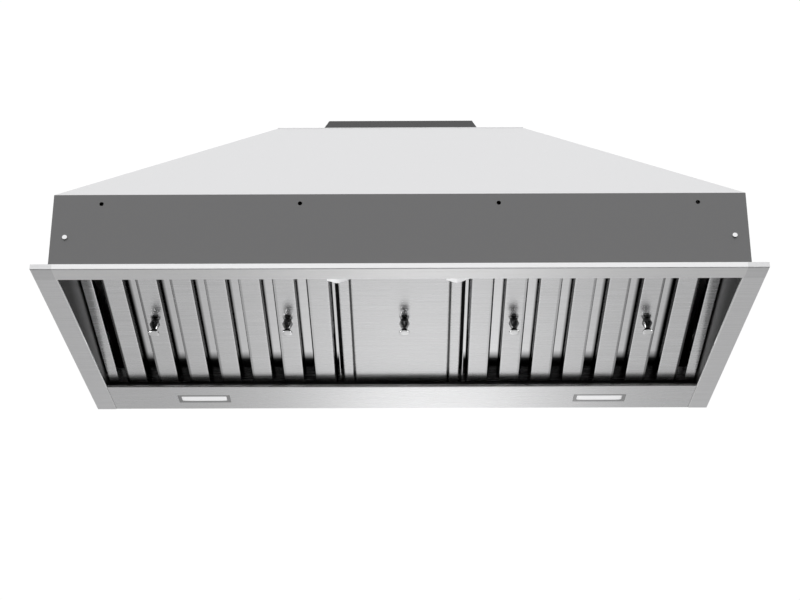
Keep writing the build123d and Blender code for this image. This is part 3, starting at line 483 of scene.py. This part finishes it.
# %% [markdown]
# ## Where a point lies on a filter
#
# A baffle filter has two rows of strips. The lower strips hang like hats with a gap between them, and
# the upper strips lie over the gaps, so that the fumes have to turn twice and leave their grease. All
# strips are evenly spaced, and the filters slope up from their rear end. So three numbers say where a
# point lies: its distance from the hood's middle, its place in the spacing, and its distance up the
# slope from the rear end. A picture laid over the filter would need a map of its own for every strip.

# %% Places on the sloping filters
SLOPE = math.radians(9.97)
SLOPE_FOOT = (0.158, 0.0106)
STRIP_PITCH = 0.04385
STRIP_FACE = 0.0274
OUTER_STRIP_INNER_EDGE = 0.3549
PITCHES_INWARDS = 10
SIDEWAYS_FROM = 0.6


def side_of(graph):
    """The distance from the hood's middle: x without its sign."""
    x, _, _ = graph.places()
    return graph.math("ABSOLUTE", x)


def from_inner_edge(graph, side):
    """How far outwards a point lies from the inner edge of its strip, from 0 to the pitch."""
    first_edge = OUTER_STRIP_INNER_EDGE - PITCHES_INWARDS * STRIP_PITCH
    return graph.math("MODULO", graph.math("SUBTRACT", side, first_edge), STRIP_PITCH)


def from_rear_end(graph):
    """The distance up the slope from the foot: -(y - foot y) cos slope + (z - foot z) sin slope."""
    _, y, z = graph.places()
    level_share = graph.times(graph.math("SUBTRACT", y, SLOPE_FOOT[0]), -math.cos(SLOPE))
    upright_share = graph.times(graph.math("SUBTRACT", z, SLOPE_FOOT[1]), math.sin(SLOPE))
    return graph.math("ADD", level_share, upright_share)


def sideways(graph):
    """1 on a face that looks to the left or right, 0 on one that looks down or up."""
    normal = graph.node("ShaderNodeNewGeometry").outputs["Normal"]
    parts = graph.node("ShaderNodeSeparateXYZ", Vector=normal)
    return graph.past(graph.math("ABSOLUTE", parts.outputs["X"]), SIDEWAYS_FROM, soft=0.15)


print("strips every", STRIP_PITCH * 1000, "mm")

# %% [markdown]
# ## Shade of the strips
#
# No light gets past the turn between the two rows. The folded-up flanks of the lower strips are dark, and
# so is the part of each upper strip beside the flank that one sees. The further a gap is from the middle,
# the more of that dark side shows, and the darker the bend beside the flank gets. The mesh and the lights
# give some of this by themselves, but an even white world gets into gaps that a real room leaves dark, so
# painted shade helps it along, with a painted highlight along each lower strip's inner edge.

# %% Shade of the lower and upper strips
# A ramp is: where it starts, where it ends, its value at the start, its value at the end.
# Ramps of painted shade on the flanks and at the bends.
FLANK_RAMP = (0.0920, 0.0935, 0.9, 0.04)
BEND_RAMP = (0.12, 0.33, 0.08, 0.6)
OUTER_BEND_RAMP = (0.35, 0.378, 0.0, 0.32)
BEND_BREADTH = 0.0032
# The painted highlight along each lower strip's inner edge.
INNER_EDGE_BREADTH = 0.0022
INNER_EDGE_HIGHLIGHT_TONE = 1.08
# Painted shade in the slit beside each filter's inner rail.
SLIT_SIDES = (0.0884, 0.0904)
SLIT_SHADE_TONE = 0.08
INNER_RAIL_SIDE = 0.093
# Painted shade beside the flank and up the slope, with a faint painted light at the rear end.
FLANK_SIGHT = 0.0162
BESIDE_FLANK_RAMP = (-0.0022, 0.0022, 0.02, 1.0)
UP_THE_SLOPE_RAMP = (0.040, 0.060, 0.03, 1.0)
REAR_END_RAMP = (0.013, 0.021, 0.45, 0.02)


def lower_strip_shade(graph):
    """Painted shade on all flanks but the innermost, a painted highlight on the inner edge, and painted
    shade at the outer bend.

    The bend's painted shade gets darker with the distance from the middle: by the sum of two ramps.
    """
    side = side_of(graph)
    place = from_inner_edge(graph, side)
    flank = graph.dim(sideways(graph), graph.spread(side, *FLANK_RAMP))
    painted_light = graph.dim(graph.short_of(place, INNER_EDGE_BREADTH, soft=0.0012), INNER_EDGE_HIGHLIGHT_TONE)
    depth = graph.math("ADD", graph.spread(side, *BEND_RAMP), graph.spread(side, *OUTER_BEND_RAMP))
    bend = graph.times(graph.past(place, STRIP_FACE - BEND_BREADTH, soft=0.0006), depth)
    return graph.times(flank, painted_light, graph.math("SUBTRACT", 1.0, bend))


def inner_line(graph, side):
    """Painted shade in the slit beside the filter's inner rail: dark between the slit's two sides."""
    slit = graph.times(graph.past(side, SLIT_SIDES[0], soft=0.0003),
                       graph.short_of(side, SLIT_SIDES[1], soft=0.0004))
    return graph.dim(slit, SLIT_SHADE_TONE)


def frame_shade(graph):
    """The filter's frame shares the painted shade of the slit beside its inner rail."""
    return inner_line(graph, side_of(graph))


def upper_strip_shade(graph):
    """Two factors of painted light and shade: one across the strip, and one up the slope.

    Across, painted shade from the flank inwards as far as the sight share times the distance from the
    middle, but not on the half strip by the inner rail, which has only the slit. Up the slope, a faint
    painted light close to the rear end, then painted shade, then fully lit.
    """
    side = side_of(graph)
    inwards = graph.math("SUBTRACT", STRIP_PITCH, from_inner_edge(graph, side))
    beyond = graph.math("SUBTRACT", inwards, graph.times(side, FLANK_SIGHT))
    lit = graph.spread(beyond, *BESIDE_FLANK_RAMP)
    lit = graph.math("MAXIMUM", lit, graph.short_of(side, INNER_RAIL_SIDE, soft=0.0004))
    up_slope = from_rear_end(graph)
    far = graph.spread(up_slope, *UP_THE_SLOPE_RAMP)
    near = graph.spread(up_slope, *REAR_END_RAMP)
    return graph.times(lit, inner_line(graph, side), graph.math("MAXIMUM", far, near))


print("two shades for the strips, one for their frames")

# %% [markdown]
# ## Shade of the cavity and the centre panel
#
# The walls round the filters are the same steel, but they see little more than the dark inside of the
# hood, so their low tone is painted shade. They are lightest close under the filters and get darker
# towards the rim, in painted shade too. The centre panel lies in a tray with a narrow groove on both
# sides, and a groove is a dark line with two bright edges. From where we stand it is less than two
# pixels wide, and the even white world would fill it with light. So the tray's painted shade draws the
# line, and each of the two sheets draws a painted highlight beside it as its edge.

# %% Cavity walls and centre tray
# The walls' painted shade, from under the filters towards the rim.
WALL_RAMP = (0.008, 0.040, 1.0, 0.2)
PLATE_SIDE = 0.0635
GROOVE = 0.002
# Painted shade in the groove and painted highlights on both its edges.
GROOVE_REACH = 0.0012
GROOVE_SHADE_TONE = 0.1
GROOVE_EDGE_REACH = 0.0026
GROOVE_HIGHLIGHT_TONE = 1.13
PLATE_EDGE_BREADTH = 0.0014


def wall_shade(graph):
    """Painted shade, lighter close under the filters: a ramp over the height below the sloping plane."""
    _, y, z = graph.places()
    rise = graph.times(graph.math("SUBTRACT", y, SLOPE_FOOT[0]), -math.tan(SLOPE))
    plane = graph.math("ADD", rise, SLOPE_FOOT[1])
    return graph.spread(graph.math("SUBTRACT", plane, z), *WALL_RAMP)


def tray_shade(graph):
    """Painted shade in the groove beside the plate, with a painted highlight on each side of it."""
    from_groove = graph.math("SUBTRACT", side_of(graph), PLATE_SIDE + GROOVE / 2)
    from_groove = graph.math("ABSOLUTE", from_groove)
    groove = graph.short_of(from_groove, GROOVE_REACH, soft=0.0003)
    edge = graph.short_of(from_groove, GROOVE_EDGE_REACH, soft=0.0004)
    return graph.times(graph.dim(groove, GROOVE_SHADE_TONE), graph.dim(edge, GROOVE_HIGHLIGHT_TONE))


def plate_shade(graph):
    """The plate's sides have a painted highlight beside the groove."""
    edge = graph.past(side_of(graph), PLATE_SIDE - PLATE_EDGE_BREADTH, soft=0.0003)
    return graph.dim(edge, GROOVE_HIGHLIGHT_TONE)


print("groove at", (PLATE_SIDE + GROOVE / 2) * 1000, "mm from the middle")

# %% [markdown]
# ## The finishes
#
# The frame names for every node the finish that its piece has in reality: brushed stainless for what
# the cook sees, mill sheet and galvanised sheet for what the cabinet hides, enamel for the motor's
# shell, nylon for the terminals, opal plastic for the lamps. One table makes a material for each of
# those names. A few nodes need a shade of their own, so a second table has them by the node's name.

# %% Finishes by the frame's names
# Brushed: name, tone, roughness, streak. Grained: name, tone, roughness, share of metal.
FILTER_LOOK = {"tone": grey(0.88), "roughness": 0.25, "streak": 0.09, "drawn": 0.5}
finishes = {
    "brushed_steel": brushed("rim_brushed_steel", grey(0.91), 0.36, 0.08, shade=rim_shade),
    "filter_steel": brushed("filter_brushed_steel", **FILTER_LOOK),
    # The cavity's low tone and its ramp are painted shade.
    "cavity_steel": grained("cavity_mill_steel_painted_shade", grey(0.2), 0.45, 1.0, shade=wall_shade),
    # The casing and the roof are one mill sheet: its dark tone on the casing is painted shade, its light
    # tone on the roof painted light.
    "casing_steel": grained("casing_mill_steel_painted_shade", grey(0.195), 0.5, 1.0),
    "roof_steel": grained("roof_mill_steel_painted_light", grey(0.785), 0.5, 1.0, grain=0.01),
    "collar_steel": grained("collar_dark_sheet", grey(0.10), 0.45, 1.0, grain=0.1, scale=700),
    "galvanised_steel": grained("galvanised_sheet", (0.5, 0.52, 0.54), 0.4, 0.9, grain=0.18, scale=90),
    "fan_steel": grained("wheel_sheet", (0.42, 0.44, 0.47), 0.4, 0.9, grain=0.12, scale=120),
    "motor_shell": grained("motor_black_enamel", (0.03, 0.03, 0.032), 0.4, 0.0),
    "shaft_steel": grained("shaft_ground_steel", grey(0.6), 0.2, 1.0),
    "chrome": grained("knob_chrome", grey(0.8), 0.08, 1.0, grain=0.01),
    "bright_zinc": grained("screw_bright_zinc", grey(0.85), 0.2, 1.0),
    "damper_aluminium": grained("damper_mill_aluminium", grey(0.62), 0.35, 1.0),
    "button_chrome": grained("button_satin_chrome", grey(0.9), 0.2, 1.0),
    "button_plate_steel": brushed("button_plate_steel", grey(0.35), 0.3),
    "black_plastic": grained("black_nylon", (0.02, 0.02, 0.02), 0.5, 0.0),
    "white_plastic": grained("terminal_white_nylon", (0.7, 0.7, 0.67), 0.45, 0.0),
    "lamp_bezel": grained("lamp_bezel_satin", grey(0.35), 0.3, 1.0),
    "lamp_lens": grained("lamp_opal_lens", (0.9, 0.9, 0.91), 0.3, 0.0, grain=0.02, glow=0.42),
    "led_board": grained("led_white_board", (0.8, 0.8, 0.78), 0.4, 0.0),
    "heat_sink": grained("heat_sink_cast", grey(0.5), 0.5, 1.0),
    "capacitor_shell": grained("capacitor_shell", (0.6, 0.6, 0.58), 0.35, 0.0),
}
print(len(finishes), "finishes for the slots")

# %% Finishes for single nodes
lower_strips = brushed("lower_strip_steel", shade=lower_strip_shade, **FILTER_LOOK)
upper_strips = brushed("upper_strip_steel", FILTER_LOOK["tone"], 0.14, drawn=0.4, shade=upper_strip_shade)
filter_frames = brushed("frame_steel", shade=frame_shade, **FILTER_LOOK)
special_finishes = {
    "rear_lamp_strip": brushed("lamp_strip_steel", grey(0.85), 0.28, shade=strip_shade),
    "left_filter_front_baffles": lower_strips,
    "right_filter_front_baffles": lower_strips,
    "left_filter_rear_baffles": upper_strips,
    "right_filter_rear_baffles": upper_strips,
    "left_filter_frame": filter_frames,
    "right_filter_frame": filter_frames,
    "center_tray": brushed("tray_steel", shade=tray_shade, **FILTER_LOOK),
    "center_plate": brushed("plate_steel", shade=plate_shade, **FILTER_LOOK),
    # The divider rails' near black is painted shade in the gaps beside the filters.
    "divider_rails": grained("divider_steel_painted_shade", grey(0.04), 0.6, 1.0),
    # The rear wall's low tone is painted shade.
    "rear_cavity_wall": grained("rear_wall_mill_steel_painted_shade", grey(0.14), 0.5, 1.0),
}
print(len(special_finishes), "nodes with a finish of their own")

# %% [markdown]
# ## Dressing the nodes
#
# A node's mesh comes with a slot for its material. A copy of the mesh could be dressed instead, but we
# keep the mesh and fill its slot, so each sheet stays exactly where the construction put it.

# %% Dress the frame's own nodes
slot_of = {part["node"]: part["material_slot"] for part in frame["record"]["subparts"]}
for name, piece in nodes.items():
    for slot in piece.material_slots:
        slot.material = special_finishes.get(name, finishes[slot_of[name]])
print("dressed", len(slot_of), "nodes")

# %% [markdown]
# ## Turned knobs
#
# Each filter has two pull knobs and the centre panel has one. A knob is turned on a lathe and then
# chromed, so its form is a profile spun round an axis. The profile is a list of radii and depths with
# short arcs where the tool was lifted: a narrow foot, two cones that meet at the girth, a waist, and a
# head that flares to a flat face. A grid of profile points by angles gives the whole surface, and its
# first and last rings have no radius, so that both poles are closed. Blender's Spin would do the same
# by hand, but the grid also serves for the lamp covers and the hems.

# %% A turned surface
# Each pair is a radius and a depth below the slope, in millimetres until the division.
KNOB_PROFILE = np.array([
    (0.0, -0.2), (5.0, -0.2), (5.1, 0.6), (5.3, 1.3), (6.6, 5.3), (6.8, 5.8), (6.82, 6.1), (6.7, 6.5),
    (3.7, 13.7), (3.45, 14.3), (3.5, 14.9), (3.9, 15.6), (6.1, 18.1), (6.55, 18.6), (6.8, 19.2),
    (6.8, 20.3), (6.65, 20.52), (6.4, 20.6), (3.0, 20.6), (0.0, 20.6),
]) / 1000
MERGE_WITHIN = 1e-7


def on_slope(x, setback, depth):
    """A point from its X, its distance up the slope from the filters' rear end, and its depth below."""
    y = SLOPE_FOOT[0] - setback * math.cos(SLOPE) - depth * math.sin(SLOPE)
    z = SLOPE_FOOT[1] + setback * math.sin(SLOPE) - depth * math.cos(SLOPE)
    return np.stack([x, y, z], axis=-1)


def grid_faces(rows, columns):
    """Quads between neighbours of a grid whose columns close on themselves."""
    first = np.arange(rows - 1)[:, None] * columns
    here = np.arange(columns)[None, :]
    after = (here + 1) % columns
    below = first + columns
    faces = np.stack([first + here, first + after, below + after, below + here], axis=-1)
    return faces.reshape(-1, 4)


def turned(profile, angles, x_middle, setback):
    """Points x = middle + r cos a, setback + r sin a, depth d, for each pair of radius r and depth d."""
    angle = np.linspace(0, 2 * np.pi, angles, endpoint=False)[None, :]
    radius = profile[:, :1]
    x = x_middle + radius * np.cos(angle)
    up_slope = setback + radius * np.sin(angle)
    depth = np.broadcast_to(profile[:, 1:], x.shape)
    return on_slope(x, up_slope, depth).reshape(-1, 3)


def several(sets, faces):
    """One array of points and one of faces, from sets of points that all have the same faces."""
    numbered = [faces + number * len(sets[0]) for number in range(len(sets))]
    return np.concatenate(sets), np.concatenate(numbered)


def surface(name, points, faces, smooth=True):
    """A mesh object from whole arrays of points and faces, with doubled points merged."""
    mesh = bpy.data.meshes.new(name)
    mesh.from_pydata(points.tolist(), [], faces.tolist())
    shape = bmesh.new()
    shape.from_mesh(mesh)
    bmesh.ops.remove_doubles(shape, verts=shape.verts, dist=MERGE_WITHIN)
    bmesh.ops.recalc_face_normals(shape, faces=shape.faces)
    shape.to_mesh(mesh)
    shape.free()
    mesh.polygons.foreach_set("use_smooth", np.full(len(mesh.polygons), smooth))
    piece = bpy.data.objects.new(name, mesh)
    bpy.context.collection.objects.link(piece)
    return piece


print("a knob is", KNOB_PROFILE[-1, 1] * 1000, "mm long")

# %% [markdown]
# ## Chrome that knows its depth
#
# Chrome is a mirror, and a mirror under a hood sees black and white in hard bands. Which band falls on
# which turn of the knob depends on a whole kitchen, and that is more than our few cards can stand for.
# So the bands are a painted reflection: the depth below the slope sets the tone, dark up to the girth,
# half bright on the cone that narrows to the waist, dark again where the head flares, and bright on its
# flat face. Reflections do the rest.

# %% Chrome by depth
GIRTH_DEPTH = 0.0058
FLARE_DEPTH = 0.0158
FACE_DEPTH = 0.0203
# Tones of the painted reflection bands.
DARK_TONE = 0.03
CONE_TONE = 0.5
FLARE_SHARE = 0.05
FACE_TONE = 0.9
KNOB_GRAIN = 0.03
KNOB_GRAIN_SCALE = 900.0
KNOB_ROUGHNESS = (0.09, 0.13)


def depth_below_slope(graph):
    """The depth: (foot y - y) sin slope + (foot z - z) cos slope."""
    _, y, z = graph.places()
    level_share = graph.times(graph.math("SUBTRACT", SLOPE_FOOT[0], y), math.sin(SLOPE))
    upright_share = graph.times(graph.math("SUBTRACT", SLOPE_FOOT[1], z), math.cos(SLOPE))
    return graph.math("ADD", level_share, upright_share)


def knob_painted_reflection(graph):
    """Painted reflection bands: the higher of the face's tone and the dark tone plus the cone's, each
    past its own depth.

    Past the flare's depth only a small share of the cone's tone is left.
    """
    depth = depth_below_slope(graph)
    flare = graph.dim(graph.past(depth, FLARE_DEPTH, soft=0.0008), FLARE_SHARE)
    cone = graph.times(graph.past(depth, GIRTH_DEPTH, soft=0.0006), flare, CONE_TONE)
    face = graph.times(graph.past(depth, FACE_DEPTH, soft=0.0001), FACE_TONE)
    return graph.math("MAXIMUM", graph.math("ADD", cone, DARK_TONE), face)


def knob_finish():
    """Metal whose tone follows the depth in painted reflection bands, with a fine grain in its colour and
    roughness.
    """
    finish, graph, shader = new_finish("turned_knob_chrome")
    noise = graph.node("ShaderNodeTexNoise", Vector=graph.place(), Scale=KNOB_GRAIN_SCALE,
                       Detail=GRAIN_DETAIL)
    pattern = noise.outputs["Fac"]
    graph.fill(shader, Metallic=1.0, Base_Color=tinted(graph, grey(1.0), pattern, KNOB_GRAIN, knob_painted_reflection),
               Roughness=graph.spread(pattern, *NOISE_REACH, *KNOB_ROUGHNESS))
    return finish


turned_chrome = knob_finish()
print("chrome turns bright", FACE_DEPTH * 1000, "mm below the slope")

# %% [markdown]
# ## Setting the knobs
#
# The knobs stand in one row across the hood, so they share a setback and differ in X alone. Those of
# one filter are one piece, because they tilt with it. Each piece takes the place of the plainer node
# of the frame that stands for the same knobs.

# %% The knobs in their row
KNOB_SETBACK = 0.1565
KNOB_ANGLES = 64

knob_sets = {
    "left_filter": ("left_filter_knobs", (-0.32475, -0.14935)),
    "right_filter": ("right_filter_knobs", (0.14935, 0.32475)),
    "center_panel": ("center_knob", (0.005,)),
}
knob_faces = grid_faces(len(KNOB_PROFILE), KNOB_ANGLES)
for body, (node, middles) in knob_sets.items():
    rings = [turned(KNOB_PROFILE, KNOB_ANGLES, middle, KNOB_SETBACK) for middle in middles]
    knobs = surface("turned_" + node, *several(rings, knob_faces))
    knobs.data.materials.append(turned_chrome)
    bright_pieces.objects.link(knobs)
    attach(knobs, body)
    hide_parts(node)
    print(knobs.name, len(knobs.data.polygons), "faces")

# %% [markdown]
# ## Spring clips
#
# A wavy leaf of spring steel bridges each divider rail and holds the centre panel and the filter up.
# It is a flat strip that was bent over rollers: low near the middle, where it presses, and high at
# both ends, one of which is rolled round to give the finger something smooth. The leaf is a path of
# half cosine waves carried across its width, crowned a little, and thickened by a modifier. A curve
# object with a bevel would do as well, but it would have to be made a mesh before it can be crowned.

# %% A wavy spring leaf
CLIP_SETBACK = 0.2604
CLIP_MIDDLE = 0.076
LEAF_X = (-0.0150, 0.0165)
LEAF_LOW_AT = -0.0045
LEAF_LOW_DEPTH = 0.0080
LEAF_LEFT_DEPTH = 0.0050
LEAF_RIGHT_DEPTH = 0.0012
LEAF_HALF_BREADTH = 0.0055
LEAF_CROWN = 0.00025
ROLL_RADIUS = 0.0016
ROLL_TURN = (1.75 * np.pi, 0.06)
ROLL_STEPS = 20


def leaf_path(steps=48):
    """From the lowest point, depth low + (end - low) (1 - cos(pi share)) / 2 to either end.

    The share goes from 0 at the lowest point to 1 at the end. A circular roll follows at the left
    end: x = end x - r sin t and depth = end depth - r (1 - cos t).
    """
    x = np.linspace(*LEAF_X, steps)
    leftwards = (LEAF_LOW_AT - x) / (LEAF_LOW_AT - LEAF_X[0])
    rightwards = (x - LEAF_LOW_AT) / (LEAF_X[1] - LEAF_LOW_AT)
    share = np.where(x < LEAF_LOW_AT, leftwards, rightwards)
    end = np.where(x < LEAF_LOW_AT, LEAF_LEFT_DEPTH, LEAF_RIGHT_DEPTH)
    depth = LEAF_LOW_DEPTH + (end - LEAF_LOW_DEPTH) * (1 - np.cos(np.pi * share)) / 2
    turn = np.linspace(*ROLL_TURN, ROLL_STEPS)[:-1]
    roll_x = x[0] - ROLL_RADIUS * np.sin(turn)
    roll_depth = depth[0] - ROLL_RADIUS * (1 - np.cos(turn))
    return np.concatenate([roll_x, x]), np.concatenate([roll_depth, depth])


def leaf_points(side, columns=9):
    """The path at each place w across, from -1 to 1: setback + breadth w, depth - crown w^2."""
    path_x, path_depth = leaf_path()
    across = np.linspace(-1, 1, columns)
    x = np.broadcast_to(side * CLIP_MIDDLE + path_x[:, None], (len(path_x), columns))
    setback = np.broadcast_to(CLIP_SETBACK + LEAF_HALF_BREADTH * across[None, :], x.shape)
    depth = path_depth[:, None] - LEAF_CROWN * across[None, :] ** 2
    return on_slope(x, setback, depth).reshape(-1, 3), len(path_x), columns


def sheet_faces(rows, columns):
    """Quads between neighbours of an open grid."""
    first = np.arange(rows - 1)[:, None] * columns
    here = np.arange(columns - 1)[None, :]
    after = here + 1
    below = first + columns
    faces = np.stack([first + here, first + after, below + after, below + here], axis=-1)
    return faces.reshape(-1, 4)


print("a leaf is", 2000 * LEAF_HALF_BREADTH, "mm broad")

# %% [markdown]
# ## The clips' studs and their finish
#
# A stud with a flat head holds each leaf to its rail. It is turned as the knobs are, but its edges are
# sharp, so its faces aren't smoothed. The leaf and its stud look plated, but not like a mirror. A light
# grey of which about a third is metal takes the side lights softly and doesn't turn black with the flag.

# %% Leaves and studs
# Each pair is a radius and a depth below the slope, in millimetres until the division.
STUD_PROFILE = np.array([
    (0, 6.0), (1.6, 6.0), (1.6, -20.8), (3.2, -20.8), (3.2, -21.8), (2.6, -22.0), (0, -22.0),
]) / 1000
STUD_MIDDLE = 0.08165
STUD_ANGLES = 24
LEAF_THICKNESS = 0.0009

clip_finish = grained("clip_bright_spring_steel", grey(0.95), 0.3, 0.35, grain=0.02)
stud_faces = grid_faces(len(STUD_PROFILE), STUD_ANGLES)
for side, node in ((-1, "left_spring_clip"), (1, "right_spring_clip")):
    points, rows, columns = leaf_points(side)
    leaf = surface("wavy_" + node, points, sheet_faces(rows, columns))
    thick = leaf.modifiers.new("thickness", "SOLIDIFY")
    thick.thickness = LEAF_THICKNESS
    thick.offset = 0
    stud_points = turned(STUD_PROFILE, STUD_ANGLES, side * STUD_MIDDLE, CLIP_SETBACK)
    stud = surface("stud_of_" + node, stud_points, stud_faces, smooth=False)
    for piece in (leaf, stud):
        piece.data.materials.append(clip_finish)
        bright_pieces.objects.link(piece)
        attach(piece, "casing")
        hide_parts(node)
    print(leaf.name, len(leaf.data.polygons), "faces")

# %% [markdown]
# ## Lamp covers
#
# A lamp's cover is an opal panel, moulded a little full so that it sits tight in its frame. It scatters
# the light of the lamp behind it, so it is the one surface with a glow of its own. Its outline is a
# rectangle with round corners, and its fullness falls off towards the frame. Rings of that outline,
# shrunk step by step towards the middle, cover it without a seam. A bevelled box would be quicker, but
# its face would be flat.

# %% Opal covers
COVER_HALF_LENGTH = 0.0337
COVER_HALF_BREADTH = 0.0108
COVER_LEVEL = 0.0014
COVER_FULLNESS = 0.0011
COVER_BACK = 0.003
CORNER_POWER = 0.22
FULLNESS_POWER = 6
COVER_SIDE = 0.2795
COVER_SHIFT = (-0.0004, 0.0008)


def rounded(wave):
    """The wave's size to the corner's power, with its own sign: near 1 but for a short turn."""
    return np.sign(wave) * np.abs(wave) ** CORNER_POWER


def cover_points(x_middle, y_middle, rings=14, columns=72):
    """Rings of a rounded rectangle, shrunk by a share, with z = level - fullness (1 - share^6).

    x = middle + half length share rounded(cos a), and y the same with the half breadth and sin a.
    The outermost ring comes twice, first at the back's level, and a ring without size closes the
    back.
    """
    angle = np.linspace(0, 2 * np.pi, columns, endpoint=False)[None, :]
    share = np.concatenate([[1.0, 1.0], np.linspace(1.0, 0.0, rings)[1:]])[:, None]
    x = x_middle + COVER_HALF_LENGTH * share * rounded(np.cos(angle))
    y = y_middle + COVER_HALF_BREADTH * share * rounded(np.sin(angle))
    z = COVER_LEVEL - COVER_FULLNESS * (1 - share ** FULLNESS_POWER) + 0 * x
    z[0] = COVER_BACK
    points = np.stack([x, y, z], axis=-1).reshape(-1, 3)
    back = np.array([[x_middle, y_middle, COVER_BACK]])
    return np.concatenate([np.repeat(back, columns, axis=0), points]), rings + 2, columns


lamp_low, lamp_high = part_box("lamp_lenses")
lamp_middle = (lamp_low[1] + lamp_high[1]) / 2 + COVER_SHIFT[1]
sets = [cover_points(side * COVER_SIDE + COVER_SHIFT[0], lamp_middle) for side in (-1, 1)]
cover_faces = grid_faces(sets[0][1], sets[0][2])
covers = surface("opal_covers", *several([one[0] for one in sets], cover_faces))
covers.data.materials.append(finishes["lamp_lens"])
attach(covers, "casing")
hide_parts("lamp_lenses")
print("covers reach down to", COVER_LEVEL - COVER_FULLNESS, "m")

# %% [markdown]
# ## Hems along the arms
#
# The inner edge of a rim's arm is hemmed: the sheet is folded back on itself so that no one is cut by
# it. The fold is a thin round bead, and since it turns from facing down to facing sideways, some part
# of it always mirrors something bright. A bevel on the arm's edge would round it too, but a bevel needs
# faces that share their edges, and the frame's meshes are loose triangles. So the bead is a piece of
# its own: a circle carried along a straight line and closed at both ends.

# %% Hem beads
HEM_RADIUS = 0.0008
HEM_INSET = 0.0003
HEM_FROM_FRONT = 0.0293
HEM_RINGS = (0.0, HEM_RADIUS, HEM_RADIUS, 0.0)
HEM_ANGLES = 20


def hem_points(x, y_low, y_high):
    """Rings (x + r cos a, y, hem radius + r sin a) at both ends of a line along Y.

    At each end r is the hem's radius once and zero once, which closes the end.
    """
    angle = np.linspace(0, 2 * np.pi, HEM_ANGLES, endpoint=False)
    radius = np.array(HEM_RINGS)[:, None]
    y = np.array([y_low, y_low, y_high, y_high])[:, None] + 0 * radius * angle
    z = HEM_RADIUS + radius * np.sin(angle)
    return np.stack([x + radius * np.cos(angle), y, z], axis=-1).reshape(-1, 3)


hem_x = arm_side - HEM_INSET
hem_sets = [hem_points(side * hem_x, rim_low[1] + HEM_FROM_FRONT, strip_low[1]) for side in (-1, 1)]
hems = surface("arm_hems", *several(hem_sets, grid_faces(len(HEM_RINGS), HEM_ANGLES)))
hems.data.materials.append(brushed("hem_steel", grey(0.95), 0.12, drawn=0.0))
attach(hems, "casing")
print("hems", HEM_RADIUS * 2000, "mm thick")

# %% [markdown] ## The end
